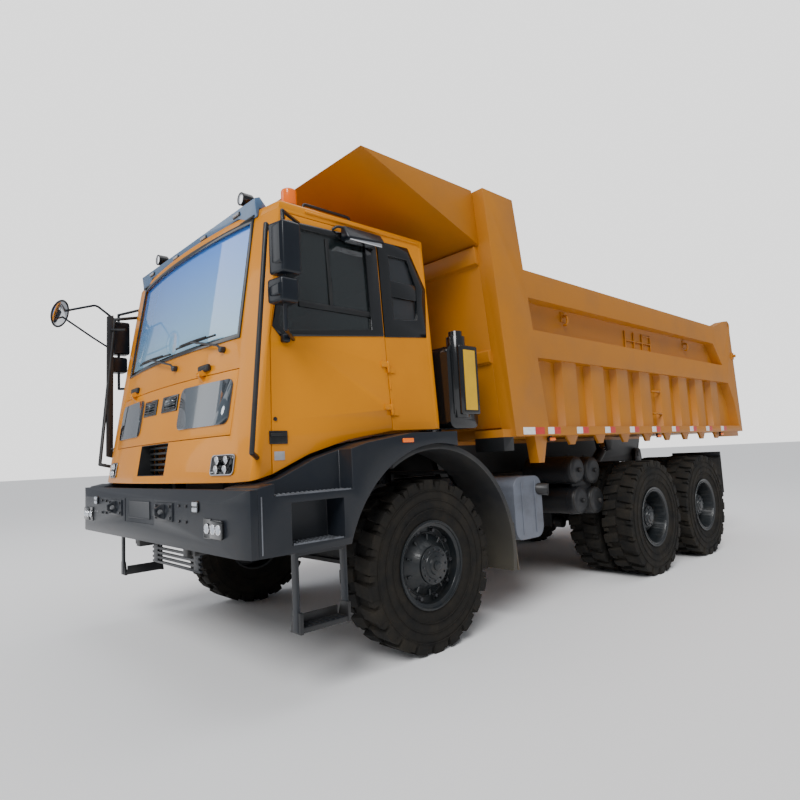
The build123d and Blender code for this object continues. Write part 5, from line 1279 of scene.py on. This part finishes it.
def bodyWelds():
    # the beads where each rib meets the side plate
    b, beads = bodyParts, []
    for x in b["ribX"]:
        for side in (-1, 1):
            edge = axleX + x + side * 0.172
            seen = [(leftY(sidesTree, edge, z, 0), z) for z in b["weldZ"]]
            if all(abs(y - b["plateY"]) < 0.02 for y, z in seen):
                beads.append(bentTube([(edge - side * 0.004, y + 0.001, z) for y, z in seen], b["weldRadius"]))
    if beads:
        bothSides(joined(*beads), "rib_welds", "bodyPaint", bodyRides)


def bodyLamps():
    z, bases, lenses = bodyParts["sideLampZ"], [], []
    for x in bodyParts["sideLampX"]:
        x += axleX
        bases.append(addBox((x - 0.055, 1.712, z - 0.022), (x + 0.055, 1.734, z + 0.022), 0.004))
        lenses.append(addBox((x - 0.045, 1.730, z - 0.014), (x + 0.045, 1.744, z + 0.014), 0.005))
        bases.append(addBox((x - 0.02, 1.70, z + 0.018), (x + 0.02, 1.720, z + 0.042), 0.002))
    bothSides(joined(*bases), "body_lamp_bases", "blackPlastic", bodyRides)
    bothSides(joined(*lenses), "body_lamp_lenses", "amberLens", bodyRides)


def gateKeepers():
    # the keeper on each tail post, beside the gate
    x, z = axleX + bodyParts["keeper"][0], bodyParts["keeper"][1]
    y = leftY(sidesTree, x + 0.06, z, 1.70)
    foot = addBox((x - 0.01, y - 0.006, z - 0.055), (x + 0.09, y + 0.012, z + 0.055), 0.004)
    pin = stepFaces(addRod((x + 0.03, y + 0.010, z), (x + 0.03, y + 0.045, z), 0.024, 24), outward,
                    (0.004, 0.004), (0.008, -0.004))
    bothSides(joined(foot, pin), "gate_keeper", "bodyPaint", bodyRides)


tapeMarks()
hooksAndRungs()
bodyWelds()
bodyLamps()
gateKeepers()
print("body detailed")

# Seats: padded cushions and backs on their pedestals

seat = {
    "y": 0.82, "cushion": ((0.20, 0.70), 0.245, (2.155, 2.275)),
    "back": ((0.19, 2.29), (0.30, 2.29), (0.185, 2.955), (0.10, 2.955)),
    "backHalf": 0.235, "pedestal": ((0.25, 0.65), 0.18, (1.905, 2.15)),
    "voxel": 0.012, "pressure": 4.0, "most": 0.024, "frames": 20, "seamWidth": 0.012, "seamDepth": 0.010,
}


def swell(piece):
    # the cover is blown up a little by simulation, each point held to a short way from its start
    pickOnly(piece)
    piece.data.remesh_voxel_size = seat["voxel"]
    bpy.ops.object.voxel_remesh()
    start = [vertex.co.copy() for vertex in piece.data.vertices]
    cloth = piece.modifiers.new("padding", "CLOTH")
    cloth.settings.use_pressure = True
    cloth.settings.uniform_pressure_force = seat["pressure"]
    cloth.settings.effector_weights.gravity = 0
    for number in range(1, seat["frames"] + 1):
        bpy.context.scene.frame_set(number)
    applyAll(piece)
    bpy.context.scene.frame_set(1)
    for vertex, first in zip(piece.data.vertices, start):
        step = vertex.co - first
        if step.length > seat["most"]:
            vertex.co = first + step.normalized() * seat["most"]
    smooth = piece.modifiers.new("smooth", "SUBSURF")
    smooth.levels = smooth.render_levels = 1
    applyAll(piece)
    pickOnly(piece)
    bpy.ops.object.shade_smooth()


def pressSeams(piece, across, places, into):
    # sewn channels: points near each line sink a little
    for vertex in piece.data.vertices:
        for place in places:
            off = abs(vertex.co[across] - place)
            if off < seat["seamWidth"] * 2:
                vertex.co[into] -= seat["seamDepth"] * math.exp(-(off / seat["seamWidth"]) ** 2)
    piece.data.update()


def seatCushion(y):
    (lowX, highX), half, (lowZ, highZ) = seat["cushion"]
    cushion = addBox((axleX + lowX, y - half, lowZ), (axleX + highX, y + half, highZ), 0.030)
    swell(cushion)
    middle = axleX + (lowX + highX) / 2
    pressSeams(cushion, 1, (y - half * 0.62, y + half * 0.62), 2)
    pressSeams(cushion, 0, (middle - 0.10, middle + 0.08), 2)
    return cushion


def seatBack(y):
    half = seat["backHalf"]
    back = outlineSheet([(axleX + x, y - half, z) for x, z in seat["back"]])
    editAll(back, bpy.ops.mesh.extrude_region_move, "FACE", TRANSFORM_OT_translate={"value": (0, 2 * half, 0)})
    editAll(back, bpy.ops.mesh.normals_make_consistent, "FACE", inside=False)
    swell(softenEdges(back, 0.025, 3))
    pressSeams(back, 1, (y - half * 0.60, y + half * 0.60), 0)
    return back


def seatPedestal(y):
    (lowX, highX), half, (lowZ, highZ) = seat["pedestal"]
    lowX, highX = axleX + lowX, axleX + highX
    foot = addBox((lowX - 0.02, y - half, lowZ), (highX + 0.02, y + half, lowZ + 0.03), 0.006)
    column = addBox((lowX + 0.06, y - half * 0.6, lowZ + 0.02), (highX - 0.06, y + half * 0.6, highZ - 0.02))
    stepFaces(column, outward, (0.03, 0.0), (0.0, -0.012))
    pan = addBox((lowX - 0.03, y - half - 0.04, highZ - 0.03), (highX + 0.03, y + half + 0.04, highZ + 0.006), 0.008)
    return joined(foot, column, pan)


for side, sign in (("left", 1), ("right", -1)):
    for form, name, finish in ((seatCushion, "_seat_cushion", "seatCloth"), (seatBack, "_seat_back", "seatCloth"),
                               (seatPedestal, "_seat_pedestal", "blackPlastic")):
        piece = form(sign * seat["y"])
        settle(piece, side + name, finish, bodyOf("seats"))
        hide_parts("seats")
print("seats padded")

# Floor, light and camera

studio = {
    "floorSize": 400.0, "floorColor": (0.93, 0.93, 0.93),
    "worldColor": (0.90, 0.93, 1.0), "worldStrength": 0.40, "backdropStrength": 1.8,
    "sunStrength": 2.55, "sunPlace": (12.0, 8.5, 13.0), "sunAngle": 28.0,
    # area lamp: power, place, size
    "areas": {"fill": (480.0, (14.0, -8.0, 7.0), 10.0), "top": (700.0, (0.0, 2.0, 14.0), 12.0)},
    "aim": (0.5, 0, 1.8),
}

clearSelection()
bpy.ops.mesh.primitive_plane_add(size=studio["floorSize"], location=(0, 0, 0))
floor = bpy.context.object
floor.name = "floor"
floor.data.materials.append(makeFinish("floorPaper", studio["floorColor"], None, 0.9))

world = bpy.data.worlds.new("studio")
bpy.context.scene.world = world
world.use_nodes = True
sky = world.node_tree.nodes["Background"]
sky.inputs["Color"].default_value = (*studio["worldColor"], 1)
sky.inputs["Strength"].default_value = studio["worldStrength"]
backdrop = addNode(world, "Background", {"Color": (1, 1, 1, 1), "Strength": studio["backdropStrength"]})
paths, either = addNode(world, "LightPath"), addNode(world, "MixShader")
wire(world, (paths, "Is Camera Ray", either, "Fac"), (sky, "Background", either, 1),
     (backdrop, "Background", either, 2), (either, "Shader", world.node_tree.nodes["World Output"], "Surface"))


def addLamp(kind, name, strength, place, aim):
    clearSelection()
    bpy.ops.object.light_add(type=kind, location=place)
    lamp = bpy.context.object
    lamp.name = name
    lamp.data.energy = strength
    lamp.rotation_euler = (Vector(aim) - Vector(place)).to_track_quat("-Z", "Y").to_euler()
    return lamp.data


sun = addLamp("SUN", "sunLight", studio["sunStrength"], studio["sunPlace"], (0, 0, 0))
sun.angle = math.radians(studio["sunAngle"])
for name, (power, place, size) in studio["areas"].items():
    addLamp("AREA", name + "Light", power, place, studio["aim"]).size = size

cameraView = {
    "place": (6.1325, 5.0154, 1.5728), "yaw": -132.898, "pitch": 5.4455, "roll": -2.8661, "lens": 26.42,
    "sensor": 36.0, "reach": 2000.0,
}
yaw, pitch, roll = (math.radians(cameraView[key]) for key in ("yaw", "pitch", "roll"))
forward = Vector((math.cos(yaw) * math.cos(pitch), math.sin(yaw) * math.cos(pitch), math.sin(pitch)))
right = forward.cross(Vector(upward)).normalized()
above = right.cross(forward)
clearSelection()
bpy.ops.object.camera_add(location=cameraView["place"])
camera = bpy.context.object
camera.data.lens = cameraView["lens"]
camera.data.sensor_width = cameraView["sensor"]
camera.data.dof.use_dof = False
camera.data.clip_end = cameraView["reach"]
turn = Matrix((right * math.cos(roll) + above * math.sin(roll), above * math.cos(roll) - right * math.sin(roll),
               -forward)).transposed()
camera.matrix_world = Matrix.Translation(cameraView["place"]) @ turn.to_4x4()
bpy.context.scene.camera = camera
print("studio set")
